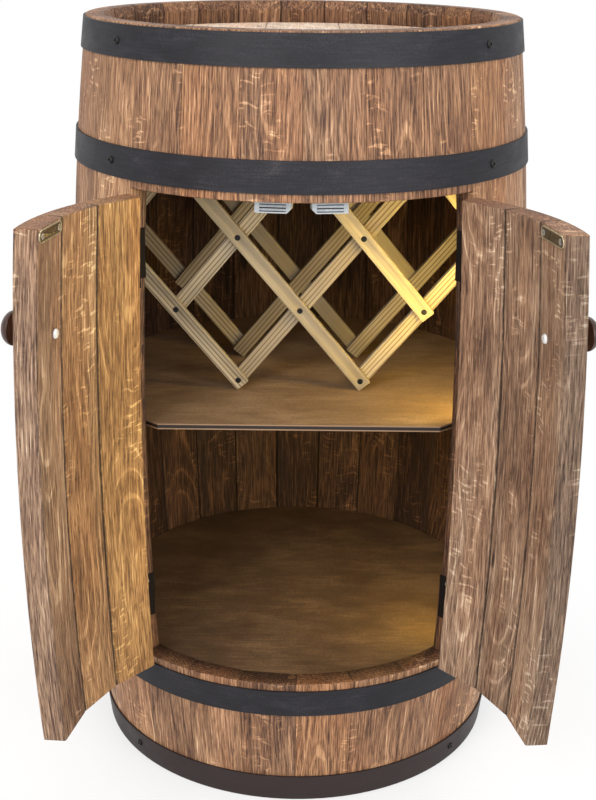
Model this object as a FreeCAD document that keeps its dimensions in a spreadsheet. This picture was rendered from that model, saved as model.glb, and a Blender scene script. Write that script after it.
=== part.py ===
"""Barrel bar cabinet: a stave barrel on end, with two doors, a shelf and a lattice bottle rack.

Millimetres, +Z up. The origin is on the floor at the barrel's axis, and the doors face -Y.
Bearings are degrees round the axis, counted from the front (-Y) towards +X.
The doors stand open at rest. Everything on the left door is the mirror image of the right.
"""
import FreeCAD, Part
import math
import os
import Sketcher
from FreeCAD import Placement, Rotation, Vector

doc = FreeCAD.newDocument("barrel_bar_cabinet")
sheet = doc.addObject("Spreadsheet::Sheet", "Sizes")

DRIVING = [
    # the barrel
    ("barrel_height", 800), ("end_radius", 222), ("bulge", 25),
    ("stave_count", 25), ("stave_thick", 23), ("door_stave_count", 3),
    ("chime_height", 10), ("chime_bevel", 5),
    ("opening_margin", 150),
    # heads, floor and shelf
    ("head_recess", 24), ("head_thick", 18), ("head_board_count", 5),
    ("croze_height", 6), ("croze_depth", 4), ("head_bevel", 7), ("board_fit", 0.5),
    ("floor_step", 2), ("floor_thick", 12),
    ("shelf_top", 411), ("shelf_thick", 6), ("shelf_front", 172),
    ("block_width", 30), ("block_depth", 18), ("block_height", 26),
    # hoops
    ("hoop_height", 30), ("hoop_thick", 2), ("hoop_fit", 0.2),
    ("end_hoop_inset", 1.5), ("quarter_hoop_inset", 112),
    # doors and hinges
    ("door_seam", 1), ("door_end_gap", 2), ("door_open_angle", 95),
    ("hinge_height", 50), ("hinge_offset", 185), ("pin_standoff", 0.8),
    ("pin_diameter", 3), ("pin_clearance", 0.05), ("pin_head_radius", 2.6), ("pin_head_height", 1.4),
    ("knuckle_radius", 4.2), ("knuckle_gap", 0.3), ("knuckle_clearance", 0.4),
    ("leaf_thick", 1.5), ("leaf_gap", 0.4), ("leaf_margin", 4),
    # knobs, catches and strike plates
    ("knob_height", 547), ("knob_shift", 14), ("knob_radius", 16), ("knob_length", 27),
    ("knob_neck_radius", 6.5), ("knob_screw_head_radius", 4.6), ("knob_screw_head_height", 2.8),
    ("knob_base_radius", 9), ("knob_grip", 8), ("knob_hole_clearance", 0.2),
    ("catch_width", 34.5), ("catch_depth", 13), ("catch_drop", 14.5), ("catch_rise", 14),
    ("catch_flange", 3), ("catch_corner", 6), ("catch_gap", 0.4), ("seat_gap", 0.05),
    ("magnet_width", 25), ("magnet_height", 7), ("magnet_depth", 8), ("magnet_stand", 0.2),
    ("strike_width", 50), ("strike_height", 12), ("strike_thick", 1.2), ("strike_drop", 9.5),
    ("strike_rim", 1.2), ("strike_dish", 0.4),
    ("strike_screw_spacing", 37), ("catch_screw_spacing", 22),
    # the bottle rack
    ("rack_slope", 50), ("rack_wall_gap", 0.3), ("rack_half_depth", 66),
    ("slat_width", 16), ("slat_thick", 8), ("slat_overhang", 8), ("slat_corner", 1.5),
    # fasteners
    ("screw_radius", 1.75), ("screw_length", 14),
    ("pan_head_radius", 3.8), ("pan_head_height", 2.2),
    ("flat_head_radius", 3.2), ("flat_head_height", 1.2),
    # light strip
    ("strip_width", 10), ("strip_thick", 2), ("strip_margin", 20),
]

FOLLOWING = [("bilge_radius", "=end_radius + bulge")]

for row, (alias, value) in enumerate(DRIVING + FOLLOWING, start=1):
    sheet.set(f"A{row}", alias)
    sheet.set(f"B{row}", str(value))
    sheet.setAlias(f"B{row}", alias)
doc.recompute()


def size(alias):
    """One driving dimension, as a number."""
    return float(sheet.get(alias))


# ---- the shape of the barrel, as expressions on the sheet and as numbers ----

ARC_RADIUS = "((Sizes.barrel_height / 2) ^ 2 + Sizes.bulge ^ 2) / (2 * Sizes.bulge)"
STAVE_ANGLE = 360.0 / size("stave_count")
HALF_OPENING = STAVE_ANGLE * size("door_stave_count")
MID_HEIGHT = size("barrel_height") / 2
OPENING_TOP = size("barrel_height") - size("opening_margin")
OPENING_BOTTOM = size("opening_margin")
PIN_CIRCLE = size("bilge_radius") + size("pin_standoff")


def outer_radius_expression(height):
    """The barrel's outer radius at a height, as an expression."""
    reach = f"({height} - Sizes.barrel_height / 2)"
    return f"Sizes.bilge_radius - {ARC_RADIUS} + sqrt(({ARC_RADIUS}) ^ 2 - {reach} ^ 2)"


def bilge_arc_radius():
    """The radius of the curve that every stave bends along."""
    return (MID_HEIGHT ** 2 + size("bulge") ** 2) / (2 * size("bulge"))


def outer_radius(height):
    """The barrel's outer radius at a height."""
    arc = bilge_arc_radius()
    return size("bilge_radius") - arc + math.sqrt(arc ** 2 - (height - MID_HEIGHT) ** 2)


def inner_radius(height):
    """The distance from the axis to the flat inner face of a stave."""
    return outer_radius(height) - size("stave_thick")


def lean(height):
    """How far a stave's face leans inwards at a height, in degrees."""
    return math.degrees(math.asin((height - MID_HEIGHT) / bilge_arc_radius()))


def turned_to(bearing):
    """The placement that turns the +X direction to a bearing from the front."""
    return Placement(Vector(), Rotation(Vector(0, 0, 1), bearing - 90))


def on_wall(bearing, height, radius):
    """A frame on the wall: X along the outward normal, Y round the barrel, Z up the stave."""
    tilt = Placement(Vector(radius, 0, height), Rotation(Vector(0, 1, 0), -lean(height)))
    return turned_to(bearing).multiply(tilt)


# ---- small makers for the document's objects ----

def add(kind, name, **sizes):
    """A document object whose sizes are bound to expressions."""
    thing = doc.addObject(kind, name)
    for prop, expression in sizes.items():
        thing.setExpression(prop.replace("__", "."), expression)
    return thing


def box(name, across, deep, tall, corner):
    """A box with its sizes bound to the sheet and its low corner at a point."""
    block = add("Part::Box", name, Length=across, Width=deep, Height=tall)
    block.Placement.Base = Vector(*corner)
    return block


def cylinder(name, radius, tall, bottom=Vector()):
    """An upright cylinder with its sizes bound to the sheet."""
    rod = add("Part::Cylinder", name, Radius=radius, Height=tall)
    rod.Placement.Base = bottom
    return rod


def cut(name, base, tool):
    """One solid less another."""
    result = doc.addObject("Part::Cut", name)
    result.Base = base
    result.Tool = tool
    return result


def common(name, base, tool):
    """What two solids share."""
    result = doc.addObject("Part::Common", name)
    result.Base = base
    result.Tool = tool
    return result


def fuse(name, pieces):
    """Several solids made one."""
    result = doc.addObject("Part::MultiFuse", name)
    result.Shapes = pieces
    return result


def group(name, pieces):
    """Several solids kept apart in one object."""
    result = doc.addObject("Part::Compound", name)
    result.Links = pieces
    return result


def mirrored(name, source):
    """The mirror image of a piece, across the plane between the doors."""
    image = doc.addObject("Part::Mirroring", name)
    image.Source = source
    image.Normal = Vector(1, 0, 0)
    return image


def assembled(name, placed):
    """Copies of finished pieces at their places, as separate solids in one object."""
    doc.recompute()
    result = doc.addObject("Part::Feature", name)
    solids = []
    for source, place in placed:
        for solid in source.Shape.Solids:
            solids.append(solid.transformed(place.toMatrix(), True))
    result.Shape = Part.makeCompound(solids)
    return result


def copies(name, source, places):
    """Copies of one piece at several places."""
    return assembled(name, [(source, place) for place in places])


def pin_point(sketch, geometry, end, index, across, up):
    """Hold one corner of a sketch at a place given by two expressions."""
    for kind, axis, expression in (("DistanceX", -2, across), ("DistanceY", -1, up)):
        if expression == "0":
            sketch.addConstraint(Sketcher.Constraint("PointOnObject", geometry, end, axis))
            continue
        start = float(sketch.evalExpression(expression))
        number = sketch.addConstraint(Sketcher.Constraint(kind, -1, 1, geometry, end, start))
        label = f"{kind}_{index}"
        sketch.renameConstraint(number, label)
        sketch.setExpression(f"Constraints.{label}", expression)


def draw_outline(sketch, corners):
    """Draw a closed outline of straight lines through corners given as expressions."""
    points = []
    for across, up in corners:
        x = float(sketch.evalExpression(across))
        y = float(sketch.evalExpression(up))
        points.append(Vector(x, y, 0))
    count = len(points)
    for i, point in enumerate(points):
        sketch.addGeometry(Part.LineSegment(point, points[(i + 1) % count]), False)
    for i in range(count):
        sketch.addConstraint(Sketcher.Constraint("Coincident", i, 2, (i + 1) % count, 1))
    for i, (across, up) in enumerate(corners):
        pin_point(sketch, i, 1, i, across, up)


def turned(name, corners):
    """A PartDesign body turned about Z from an outline of radius and height expressions."""
    body = doc.addObject("PartDesign::Body", name)
    sketch = body.newObject("Sketcher::SketchObject", f"{name}_outline")
    plane = [p for p in body.Origin.OriginFeatures if p.Role == "XZ_Plane"][0]
    sketch.AttachmentSupport = [(plane, "")]
    sketch.MapMode = "FlatFace"
    draw_outline(sketch, corners)
    doc.recompute()
    turning = body.newObject("PartDesign::Revolution", f"{name}_turning")
    turning.Profile = sketch
    turning.ReferenceAxis = (sketch, ["V_Axis"])
    turning.Angle = 360
    body.Tip = turning
    return body


def stave_side(name, face_offset, far_side):
    """A side view of the stave's curve: an arc on one side and a straight line on the other."""
    sketch = doc.addObject("Sketcher::SketchObject", name)
    sketch.Placement = Placement(Vector(), Rotation(Vector(1, 0, 0), 90))
    top = size("barrel_height")
    end_x = size("end_radius") - float(sketch.evalExpression(face_offset))
    far_x = float(sketch.evalExpression(far_side))
    bow_x = end_x + size("bulge")
    foot, bow, tip = Vector(end_x, 0, 0), Vector(bow_x, top / 2, 0), Vector(end_x, top, 0)
    sketch.addGeometry(Part.Arc(foot, bow, tip), False)
    sketch.addGeometry(Part.LineSegment(tip, Vector(far_x, top, 0)), False)
    sketch.addGeometry(Part.LineSegment(Vector(far_x, top, 0), Vector(far_x, 0, 0)), False)
    sketch.addGeometry(Part.LineSegment(Vector(far_x, 0, 0), foot), False)
    sketch.addConstraint(Sketcher.Constraint("Coincident", 0, 2, 1, 1))
    sketch.addConstraint(Sketcher.Constraint("Coincident", 1, 2, 2, 1))
    sketch.addConstraint(Sketcher.Constraint("Coincident", 2, 2, 3, 1))
    sketch.addConstraint(Sketcher.Constraint("Coincident", 3, 2, 0, 1))
    face = f"Sizes.end_radius - ({face_offset})"
    pin_point(sketch, 0, 1, 0, face, "0")
    pin_point(sketch, 0, 2, 1, face, "Sizes.barrel_height")
    pin_point(sketch, 2, 1, 2, far_side, "Sizes.barrel_height")
    pin_point(sketch, 2, 2, 3, far_side, "0")
    number = sketch.addConstraint(Sketcher.Constraint("Radius", 0, bilge_arc_radius()))
    sketch.renameConstraint(number, "bow")
    sketch.setExpression("Constraints.bow", ARC_RADIUS)
    return sketch


nodes = {}


def node(name, thing):
    """Keep an object as one of the named sub-parts."""
    thing.Label = name
    nodes[name] = thing
    return thing


# ---- staves ----

HEAD_TOP = size("barrel_height") - size("head_recess")
CROZE_BOTTOM = HEAD_TOP - (size("head_thick") + size("croze_height")) / 2
CROZE_RADIUS = inner_radius(CROZE_BOTTOM + size("croze_height") / 2) + size("croze_depth")
CHIME_BOTTOM = size("barrel_height") - size("chime_height")

slice_side = stave_side("outer_side", "0", "Sizes.end_radius - 3 * Sizes.stave_thick")
outer_slice = add("Part::Revolution", "outer_slice", Angle="360 / Sizes.stave_count")
outer_slice.Source = slice_side
outer_slice.Axis = Vector(0, 0, 1)
outer_slice.Symmetric = True
outer_slice.Solid = True


def wall_prism(name, face_offset, width):
    """A bar running up the wall, flat across and curved along, from a face to outside the barrel."""
    prism = add("Part::Extrusion", name, LengthFwd=width)
    prism.Base = stave_side(f"{name}_side", face_offset, "Sizes.bilge_radius + Sizes.stave_thick")
    prism.DirMode = "Custom"
    prism.Dir = Vector(0, 1, 0)
    prism.Symmetric = True
    prism.Solid = True
    return prism


flat_inside = wall_prism("flat_inside", "Sizes.stave_thick", "8 * Sizes.bilge_radius / Sizes.stave_count")
stave_blank = common("stave_blank", outer_slice, flat_inside)


def end_cutter(end, turn_over):
    """The groove for a head and the bevel inside the rim, at one end of the barrel."""
    groove = cylinder(f"{end}_croze", str(CROZE_RADIUS), "Sizes.croze_height", Vector(0, 0, CROZE_BOTTOM))
    bevel = add("Part::Cone", f"{end}_chime", Height="Sizes.chime_height",
                Radius1=str(inner_radius(CHIME_BOTTOM)),
                Radius2=f"{inner_radius(size('barrel_height'))} + Sizes.chime_bevel")
    bevel.Placement.Base = Vector(0, 0, CHIME_BOTTOM)
    cutter = group(f"{end}_cutter", [groove, bevel])
    cutter.Placement = turn_over
    return cutter


TURN_OVER = Placement(Vector(0, 0, size("barrel_height")), Rotation(Vector(1, 0, 0), 180))
both_ends = group("both_ends", [end_cutter("top", Placement()), end_cutter("bottom", TURN_OVER)])

# The hinge leaves are let into the edges on both sides of the seam.
LEAF_RECESS = size("leaf_thick") + size("leaf_gap") / 2 - size("door_seam") / 2
HINGE_REACH = size("hinge_offset") + size("hinge_height") / 2
LEAF_INNER = inner_radius(MID_HEIGHT + HINGE_REACH) + size("leaf_margin")
LEAF_WIDTH = PIN_CIRCLE - LEAF_INNER
HINGE_HEIGHTS = [MID_HEIGHT - size("hinge_offset"), MID_HEIGHT + size("hinge_offset")]


def leaf_recesses(name, seam_turn, low_side):
    """Pockets for two hinge leaves, open past the edge of a stave that lies along +X."""
    pockets = []
    for number, height in enumerate(HINGE_HEIGHTS, start=1):
        pocket = box(f"{name}_{number}", str(2 * LEAF_WIDTH), str(2 * LEAF_RECESS), "Sizes.hinge_height",
                     (LEAF_INNER, low_side, height - size("hinge_height") / 2))
        pockets.append(pocket)
    pair = group(name, pockets)
    pair.Placement = Placement(Vector(), Rotation(Vector(0, 0, 1), seam_turn))
    return pair


jamb_recesses = leaf_recesses("jamb_recess", -STAVE_ANGLE / 2, -LEAF_RECESS)
jamb_blank = cut("jamb_blank", stave_blank, jamb_recesses)

full_count = int(size("stave_count") - 2 * size("door_stave_count"))
for number in range(1, full_count):
    blank = jamb_blank if number == 1 else stave_blank
    stave = cut(f"full_stave_{number}", blank, both_ends)
    stave.Placement = turned_to(HALF_OPENING + (number - 0.5) * STAVE_ANGLE)
    node(f"stave_{number:02d}", stave)
node(f"stave_{full_count:02d}", mirrored("left_jamb_stave", nodes["stave_01"]))

# The staves above and below the doors are short lengths of the same shape.
opening_bearings = []
for step in range(int(size("door_stave_count"))):
    opening_bearings += [(step + 0.5) * STAVE_ANGLE, -(step + 0.5) * STAVE_ANGLE]
whole_stave = cut("whole_stave", stave_blank, both_ends)
WIDE = 2 * size("bilge_radius")
above_doors = box("above_doors", str(WIDE), str(WIDE), "Sizes.opening_margin", (0, -WIDE / 2, OPENING_TOP))
below_doors = box("below_doors", str(WIDE), str(WIDE), "Sizes.opening_margin", (0, -WIDE / 2, 0))
short_places = [turned_to(bearing) for bearing in opening_bearings]
header_blank = common("header_blank", whole_stave, above_doors)
sill_blank = common("sill_blank", whole_stave, below_doors)
node("header_staves", copies("header_lengths", header_blank, short_places))
node("sill_staves", copies("sill_lengths", sill_blank, short_places))


# ---- heads, floor, shelf and their blocks ----

FACE_RADIUS = inner_radius(HEAD_TOP) - size("board_fit")
TONGUE_RADIUS = CROZE_RADIUS - size("board_fit")
head_bottom = "Sizes.barrel_height - Sizes.head_recess - Sizes.head_thick"
tongue_bottom = f"{head_bottom} + (Sizes.head_thick - Sizes.croze_height) / 2"
tongue_top = f"{head_bottom} + (Sizes.head_thick + Sizes.croze_height) / 2"
head_disc = turned("head_disc", [
    ("0", head_bottom),
    (f"{FACE_RADIUS} - Sizes.head_bevel", head_bottom),
    (str(FACE_RADIUS), tongue_bottom),
    (str(TONGUE_RADIUS), tongue_bottom),
    (str(TONGUE_RADIUS), tongue_top),
    (str(FACE_RADIUS), tongue_top),
    (f"{FACE_RADIUS} - Sizes.head_bevel", "Sizes.barrel_height - Sizes.head_recess"),
    ("0", "Sizes.barrel_height - Sizes.head_recess"),
])
head_boards = []
board_count = int(size("head_board_count"))
board_width = 2 * TONGUE_RADIUS / board_count
for number in range(board_count):
    strip = box(f"board_strip_{number}", str(board_width), str(WIDE), "Sizes.barrel_height",
                (number * board_width - TONGUE_RADIUS, -WIDE / 2, 0))
    head_boards.append(common(f"head_board_{number}", head_disc, strip))
top_head = node("top_head", group("top_boards", head_boards))
node("bottom_head", copies("bottom_boards", top_head, [TURN_OVER]))

FLOOR_TOP = OPENING_BOTTOM - size("floor_step")
FLOOR_BOTTOM = FLOOR_TOP - size("floor_thick")
floor_radius = inner_radius(FLOOR_BOTTOM) - size("board_fit")
floor_disc = cylinder("floor_disc", str(floor_radius), "Sizes.floor_thick", Vector(0, 0, FLOOR_BOTTOM))
node("floor_board", floor_disc)

SHELF_BOTTOM = size("shelf_top") - size("shelf_thick")
shelf_radius = inner_radius(size("shelf_top")) - size("board_fit")
shelf_disc = cylinder("shelf_disc", str(shelf_radius), "Sizes.shelf_thick", Vector(0, 0, SHELF_BOTTOM))
shelf_strip = box("shelf_strip", str(WIDE), str(WIDE), "Sizes.shelf_thick",
                  (-WIDE / 2, -size("shelf_front"), SHELF_BOTTOM))
node("shelf", common("shelf_board", shelf_disc, shelf_strip))


def wall_block(name, top):
    """A block with its back cut to the wall, on the stave that lies along +X."""
    block = box(f"{name}_box", "2 * Sizes.block_depth", "Sizes.block_width", "Sizes.block_height",
                (inner_radius(top) - size("block_depth"), -size("block_width") / 2, top - size("block_height")))
    return cut(name, block, flat_inside)


block_bearings = []
for steps in (1.5, 6.5):
    bearing = HALF_OPENING + steps * STAVE_ANGLE
    block_bearings += [bearing, -bearing]
shelf_block = wall_block("shelf_block", SHELF_BOTTOM)
floor_block = wall_block("floor_block", FLOOR_BOTTOM)
block_places = []
for block in (shelf_block, floor_block):
    block_places += [(block, turned_to(bearing)) for bearing in block_bearings]
node("support_blocks", assembled("blocks", block_places))


# ---- fasteners ----

pan_screw = turned("pan_screw", [
    ("0", "-Sizes.screw_length"),
    ("Sizes.screw_radius", "-Sizes.screw_length"),
    ("Sizes.screw_radius", "0"),
    ("Sizes.pan_head_radius", "0"),
    ("Sizes.pan_head_radius", "Sizes.pan_head_height / 2"),
    ("0.7 * Sizes.pan_head_radius", "Sizes.pan_head_height"),
    ("0", "Sizes.pan_head_height"),
])
flat_screw = turned("flat_screw", [
    ("0", "-Sizes.screw_length"),
    ("Sizes.screw_radius", "-Sizes.screw_length"),
    ("Sizes.screw_radius", "-Sizes.flat_head_height"),
    ("Sizes.flat_head_radius", "0"),
    ("0", "0"),
])
FACING_FRONT = Rotation(Vector(1, 0, 0), 90)
FACING_BACK = Rotation(Vector(1, 0, 0), -90)
FACING_OUT = Rotation(Vector(0, 1, 0), 90)
FACING_IN = Rotation(Vector(0, 1, 0), -90)


# ---- hoops ----

facing_out = Placement(Vector(), FACING_OUT)
hoop_bearings = []
for steps in (0.5, 6.5):
    bearing = HALF_OPENING + steps * STAVE_ANGLE
    hoop_bearings += [bearing, -bearing]


def hoop(name, low_edge):
    """A flat steel hoop that leans with the wall, and the places of its screws."""
    corners = []
    for extra, edge in (("0", "low"), ("0", "high"), ("Sizes.hoop_thick", "high"), ("Sizes.hoop_thick", "low")):
        height = low_edge if edge == "low" else f"({low_edge} + Sizes.hoop_height)"
        radius = f"{outer_radius_expression(height)} + Sizes.hoop_fit + {extra}"
        corners.append((radius, height))
    band = turned(f"{name}_band", corners)
    doc.recompute()
    middle = float(sheet.evalExpression(low_edge)) + size("hoop_height") / 2
    surface = outer_radius(middle) + size("hoop_thick") + size("hoop_fit")
    places = [on_wall(bearing, middle, surface) for bearing in hoop_bearings]
    holes = copies(f"{name}_holes", pan_screw, [place.multiply(facing_out) for place in places])
    node(name, cut(f"{name}_drilled", band, holes))
    return places


far_end = "Sizes.barrel_height - Sizes.hoop_height"
hoop_screw_places = []
for name, low_edge in (
    ("bottom_hoop", "Sizes.end_hoop_inset"),
    ("lower_hoop", "Sizes.quarter_hoop_inset"),
    ("upper_hoop", f"({far_end} - Sizes.quarter_hoop_inset)"),
    ("top_hoop", f"({far_end} - Sizes.end_hoop_inset)"),
):
    hoop_screw_places += hoop(name, low_edge)
node("hoop_screws", copies("hoop_pan_screws", pan_screw, [p.multiply(facing_out) for p in hoop_screw_places]))


# ---- hinges: built round the pin, X outwards, Y across the seam towards the jamb ----

PIN_AXIS = turned_to(HALF_OPENING).multVec(Vector(PIN_CIRCLE, -size("door_seam") / 2, 0))
hinge_frames = []
for height in HINGE_HEIGHTS:
    hinge_frames.append(Placement(PIN_AXIS + Vector(0, 0, height), turned_to(HALF_OPENING).Rotation))
THIRD = size("hinge_height") / 3
SCREW_REACH = LEAF_WIDTH * 0.6
SCREW_STEPS = (-THIRD, 0, THIRD)


def hinge_leaf(name, side, knuckle_thirds):
    """A leaf on one side of the seam (+1 the jamb, -1 the door) with its knuckles and screws."""
    low_face = min(side * size("leaf_gap") / 2, side * (size("leaf_gap") / 2 + size("leaf_thick")))
    plate = box(f"{name}_plate", str(LEAF_WIDTH), "Sizes.leaf_thick", "Sizes.hinge_height",
                (-LEAF_WIDTH, low_face, -size("hinge_height") / 2))
    knuckles = []
    clearances = []
    for third in (-1, 0, 1):
        bottom = (third - 0.5) * THIRD
        if third in knuckle_thirds:
            trim = size("knuckle_gap") / 2
            knuckle = cylinder(f"{name}_knuckle_{third + 1}", "Sizes.knuckle_radius",
                               "Sizes.hinge_height / 3 - Sizes.knuckle_gap", Vector(0, 0, bottom + trim))
            knuckles.append(knuckle)
        else:
            clearance = cylinder(f"{name}_clearance_{third + 1}",
                                 "Sizes.knuckle_radius + Sizes.knuckle_clearance",
                                 "Sizes.hinge_height / 3 + Sizes.knuckle_gap",
                                 Vector(0, 0, bottom - size("knuckle_gap") / 2))
            clearances.append(clearance)
    trimmed = cut(f"{name}_trimmed", plate, group(f"{name}_clearances", clearances))
    solid = fuse(f"{name}_solid", [trimmed] + knuckles)
    bore = cylinder(f"{name}_bore", "Sizes.pin_diameter / 2 + Sizes.pin_clearance", "2 * Sizes.hinge_height",
                    Vector(0, 0, -size("hinge_height")))
    facing = FACING_FRONT if side > 0 else FACING_BACK
    screw_places = []
    for step in SCREW_STEPS:
        screw_places.append(Placement(Vector(-SCREW_REACH, side * size("leaf_gap") / 2, step), facing))
    holes = copies(f"{name}_holes", flat_screw, screw_places)
    leaf = cut(name, solid, group(f"{name}_openings", [bore, holes]))
    return leaf, screw_places


jamb_leaf, jamb_leaf_screws = hinge_leaf("jamb_leaf", 1, (-1, 1))
door_leaf, door_leaf_screws = hinge_leaf("door_leaf", -1, (0,))
hinge_pin = turned("hinge_pin", [
    ("0", "-Sizes.hinge_height / 2"),
    ("Sizes.pin_diameter / 2", "-Sizes.hinge_height / 2"),
    ("Sizes.pin_diameter / 2", "Sizes.hinge_height / 2"),
    ("Sizes.pin_head_radius", "Sizes.hinge_height / 2"),
    ("Sizes.pin_head_radius", "Sizes.hinge_height / 2 + Sizes.pin_head_height"),
    ("0", "Sizes.hinge_height / 2 + Sizes.pin_head_height"),
])


def both_sides(name, right_side):
    """A group with its mirror image, for pieces of the frame that come in pairs."""
    return node(name, group(f"{name}_pair", [right_side, mirrored(f"{name}_left", right_side)]))


both_sides("jamb_hinge_leaves", copies("right_jamb_leaves", jamb_leaf, hinge_frames))
both_sides("hinge_pins", copies("right_pins", hinge_pin, hinge_frames))


# ---- doors ----

SWING = Placement(Vector(), Rotation(Vector(0, 0, 1), size("door_open_angle")), PIN_AXIS)
MEETING_BEARING = STAVE_ANGLE / 2
door_length = "Sizes.barrel_height - 2 * Sizes.opening_margin - 2 * Sizes.door_end_gap"
between = box("between", str(WIDE), str(WIDE), door_length,
              (0, -WIDE / 2, OPENING_BOTTOM + size("door_end_gap")))
door_blank = common("door_blank", stave_blank, between)
door_pieces = {}


def door_piece(name, thing, closed=Placement()):
    """A piece of the right door, placed as on the closed door and then swung open."""
    thing.Placement = SWING.multiply(closed).multiply(thing.Placement)
    door_pieces[name] = thing
    return node(f"right_{name}", thing)


def seam_strip(name, turn, low_side):
    """The strip that is planed off a door's edge to leave the seam open."""
    strip = box(name, str(WIDE), "Sizes.door_seam", "Sizes.barrel_height", (0, low_side, 0))
    strip.Placement = Placement(Vector(), Rotation(Vector(0, 0, 1), turn)).multiply(strip.Placement)
    return strip


# The knob stands square to the outside, nearer the hinge than the middle of its stave, so its screw comes
# out of the flat inner face at a slight slant.
KNOB_TURN = math.asin(size("knob_shift") / outer_radius(size("knob_height")))
KNOB_PLACE = on_wall(90 + math.degrees(KNOB_TURN), size("knob_height"), outer_radius(size("knob_height")))
WALL_DEPTH = outer_radius(size("knob_height")) - inner_radius(size("knob_height")) / math.cos(KNOB_TURN)
STAVE_DEPTH = (WALL_DEPTH * math.cos(math.radians(lean(size("knob_height"))))
               + size("knob_screw_head_radius") * math.tan(KNOB_TURN))
knob_hole = cylinder("knob_hole", "Sizes.screw_radius + Sizes.knob_hole_clearance",
                     "4 * Sizes.stave_thick")
knob_hole.Placement = KNOB_PLACE.multiply(Placement(Vector(-2 * size("stave_thick"), 0, 0), FACING_OUT))

meeting_strip = seam_strip("meeting_strip", -STAVE_ANGLE / 2, 0)
hinge_strip = seam_strip("hinge_strip", STAVE_ANGLE / 2, -size("door_seam"))
door_recesses = leaf_recesses("door_recess", STAVE_ANGLE / 2, -size("door_seam") - LEAF_RECESS)
door_cutters = {
    1: group("meeting_cutter", [meeting_strip, knob_hole]),
    int(size("door_stave_count")): group("hinge_cutter", [hinge_strip, door_recesses]),
}
for number in range(1, int(size("door_stave_count")) + 1):
    bearing = (number - 0.5) * STAVE_ANGLE
    if number in door_cutters:
        plank = cut(f"door_plank_{number}", door_blank, door_cutters[number])
    else:
        plank = copies(f"door_plank_{number}", door_blank, [Placement()])
    door_piece(f"door_stave_{number}", plank, turned_to(bearing))

door_piece("door_hinge_leaves", copies("door_leaves", door_leaf, hinge_frames))

WALL_TOP = on_wall(MEETING_BEARING, OPENING_TOP, inner_radius(OPENING_TOP))
STRIKE_BACK = -size("seat_gap")
STRIKE_FACE = STRIKE_BACK - size("strike_thick")


def rounded_plate(name, thick, margin, front):
    """A round-ended plate on the door, its front at a depth and its outline drawn in by a margin."""
    blank = add("Part::Box", f"{name}_box", Length=thick, Width=f"Sizes.strike_width - 2 * {margin}",
                Height=f"Sizes.strike_height - 2 * {margin}")
    plate = doc.addObject("Part::Fillet", f"{name}_rounded")
    plate.Base = blank
    inset = float(sheet.evalExpression(margin))
    corner = (size("strike_height") - 2 * inset) * 0.45
    plate.Edges = [(edge, corner, corner) for edge in (9, 10, 11, 12)]
    low_corner = Vector(front, inset - size("strike_width") / 2,
                        inset - size("strike_drop") - size("strike_height") / 2)
    return copies(name, plate, [WALL_TOP.multiply(Placement(low_corner, Rotation()))])


strike_plate = rounded_plate("strike_plate", "Sizes.strike_thick", "0", STRIKE_FACE)
strike_dish = rounded_plate("strike_dish", "2 * Sizes.strike_dish", "Sizes.strike_rim",
                            STRIKE_FACE - size("strike_dish"))
strike_screws = []
for side in (-1, 1):
    spot = Vector(STRIKE_FACE, side * size("strike_screw_spacing") / 2, -size("strike_drop"))
    strike_screws.append(WALL_TOP.multiply(Placement(spot, FACING_IN)))
strike_openings = group("strike_openings", [copies("strike_holes", flat_screw, strike_screws), strike_dish])
door_piece("strike_plate", cut("strike_drilled", strike_plate, strike_openings))

leaf_screw_places = [frame.multiply(place) for frame in hinge_frames for place in door_leaf_screws]
door_piece("door_flat_screws", copies("door_screws", flat_screw, leaf_screw_places + strike_screws))

knob_foot = add("Part::Cone", "knob_foot", Radius1="Sizes.knob_base_radius", Radius2="Sizes.knob_neck_radius",
                Height="0.25 * Sizes.knob_length")
knob_neck = cylinder("knob_neck", "Sizes.knob_neck_radius", "0.5 * Sizes.knob_length")
knob_back = add("Part::Cone", "knob_back", Radius1="Sizes.knob_neck_radius", Radius2="Sizes.knob_radius",
                Height="0.2 * Sizes.knob_length")
knob_back.Placement.Base = Vector(0, 0, 0.4 * size("knob_length"))
knob_face = add("Part::Ellipsoid", "knob_face", Radius1="0.4 * Sizes.knob_length", Radius2="Sizes.knob_radius",
                Radius3="Sizes.knob_radius")
knob_face.Angle1 = 0
knob_face.Placement.Base = Vector(0, 0, 0.6 * size("knob_length"))
knob_bore = cylinder("knob_bore", "Sizes.screw_radius", "Sizes.knob_grip")
knob = cut("knob", fuse("knob_solid", [knob_foot, knob_neck, knob_back, knob_face]), knob_bore)
facing_out_of_door = turned_to(MEETING_BEARING).multiply(KNOB_PLACE).multiply(Placement(Vector(), FACING_OUT))
door_piece("knob", knob, facing_out_of_door)

knob_screw = turned("knob_screw", [
    ("0", f"-{STAVE_DEPTH} - Sizes.knob_grip"),
    ("Sizes.screw_radius", f"-{STAVE_DEPTH} - Sizes.knob_grip"),
    ("Sizes.screw_radius", "0"),
    ("Sizes.knob_screw_head_radius", "0"),
    ("Sizes.knob_screw_head_radius", "Sizes.knob_screw_head_height / 2"),
    ("0.7 * Sizes.knob_screw_head_radius", "Sizes.knob_screw_head_height"),
    ("0", "Sizes.knob_screw_head_height"),
])
inside_door = turned_to(MEETING_BEARING).multiply(KNOB_PLACE).multiply(
    Placement(Vector(-STAVE_DEPTH - size("seat_gap"), 0, 0), FACING_IN))
door_piece("knob_screw", knob_screw, inside_door)

for name, thing in list(door_pieces.items()):
    node(f"left_{name}", mirrored(f"left_{name}_image", thing))


# ---- magnetic catches, on the inside of the staves above the doors ----

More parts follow.
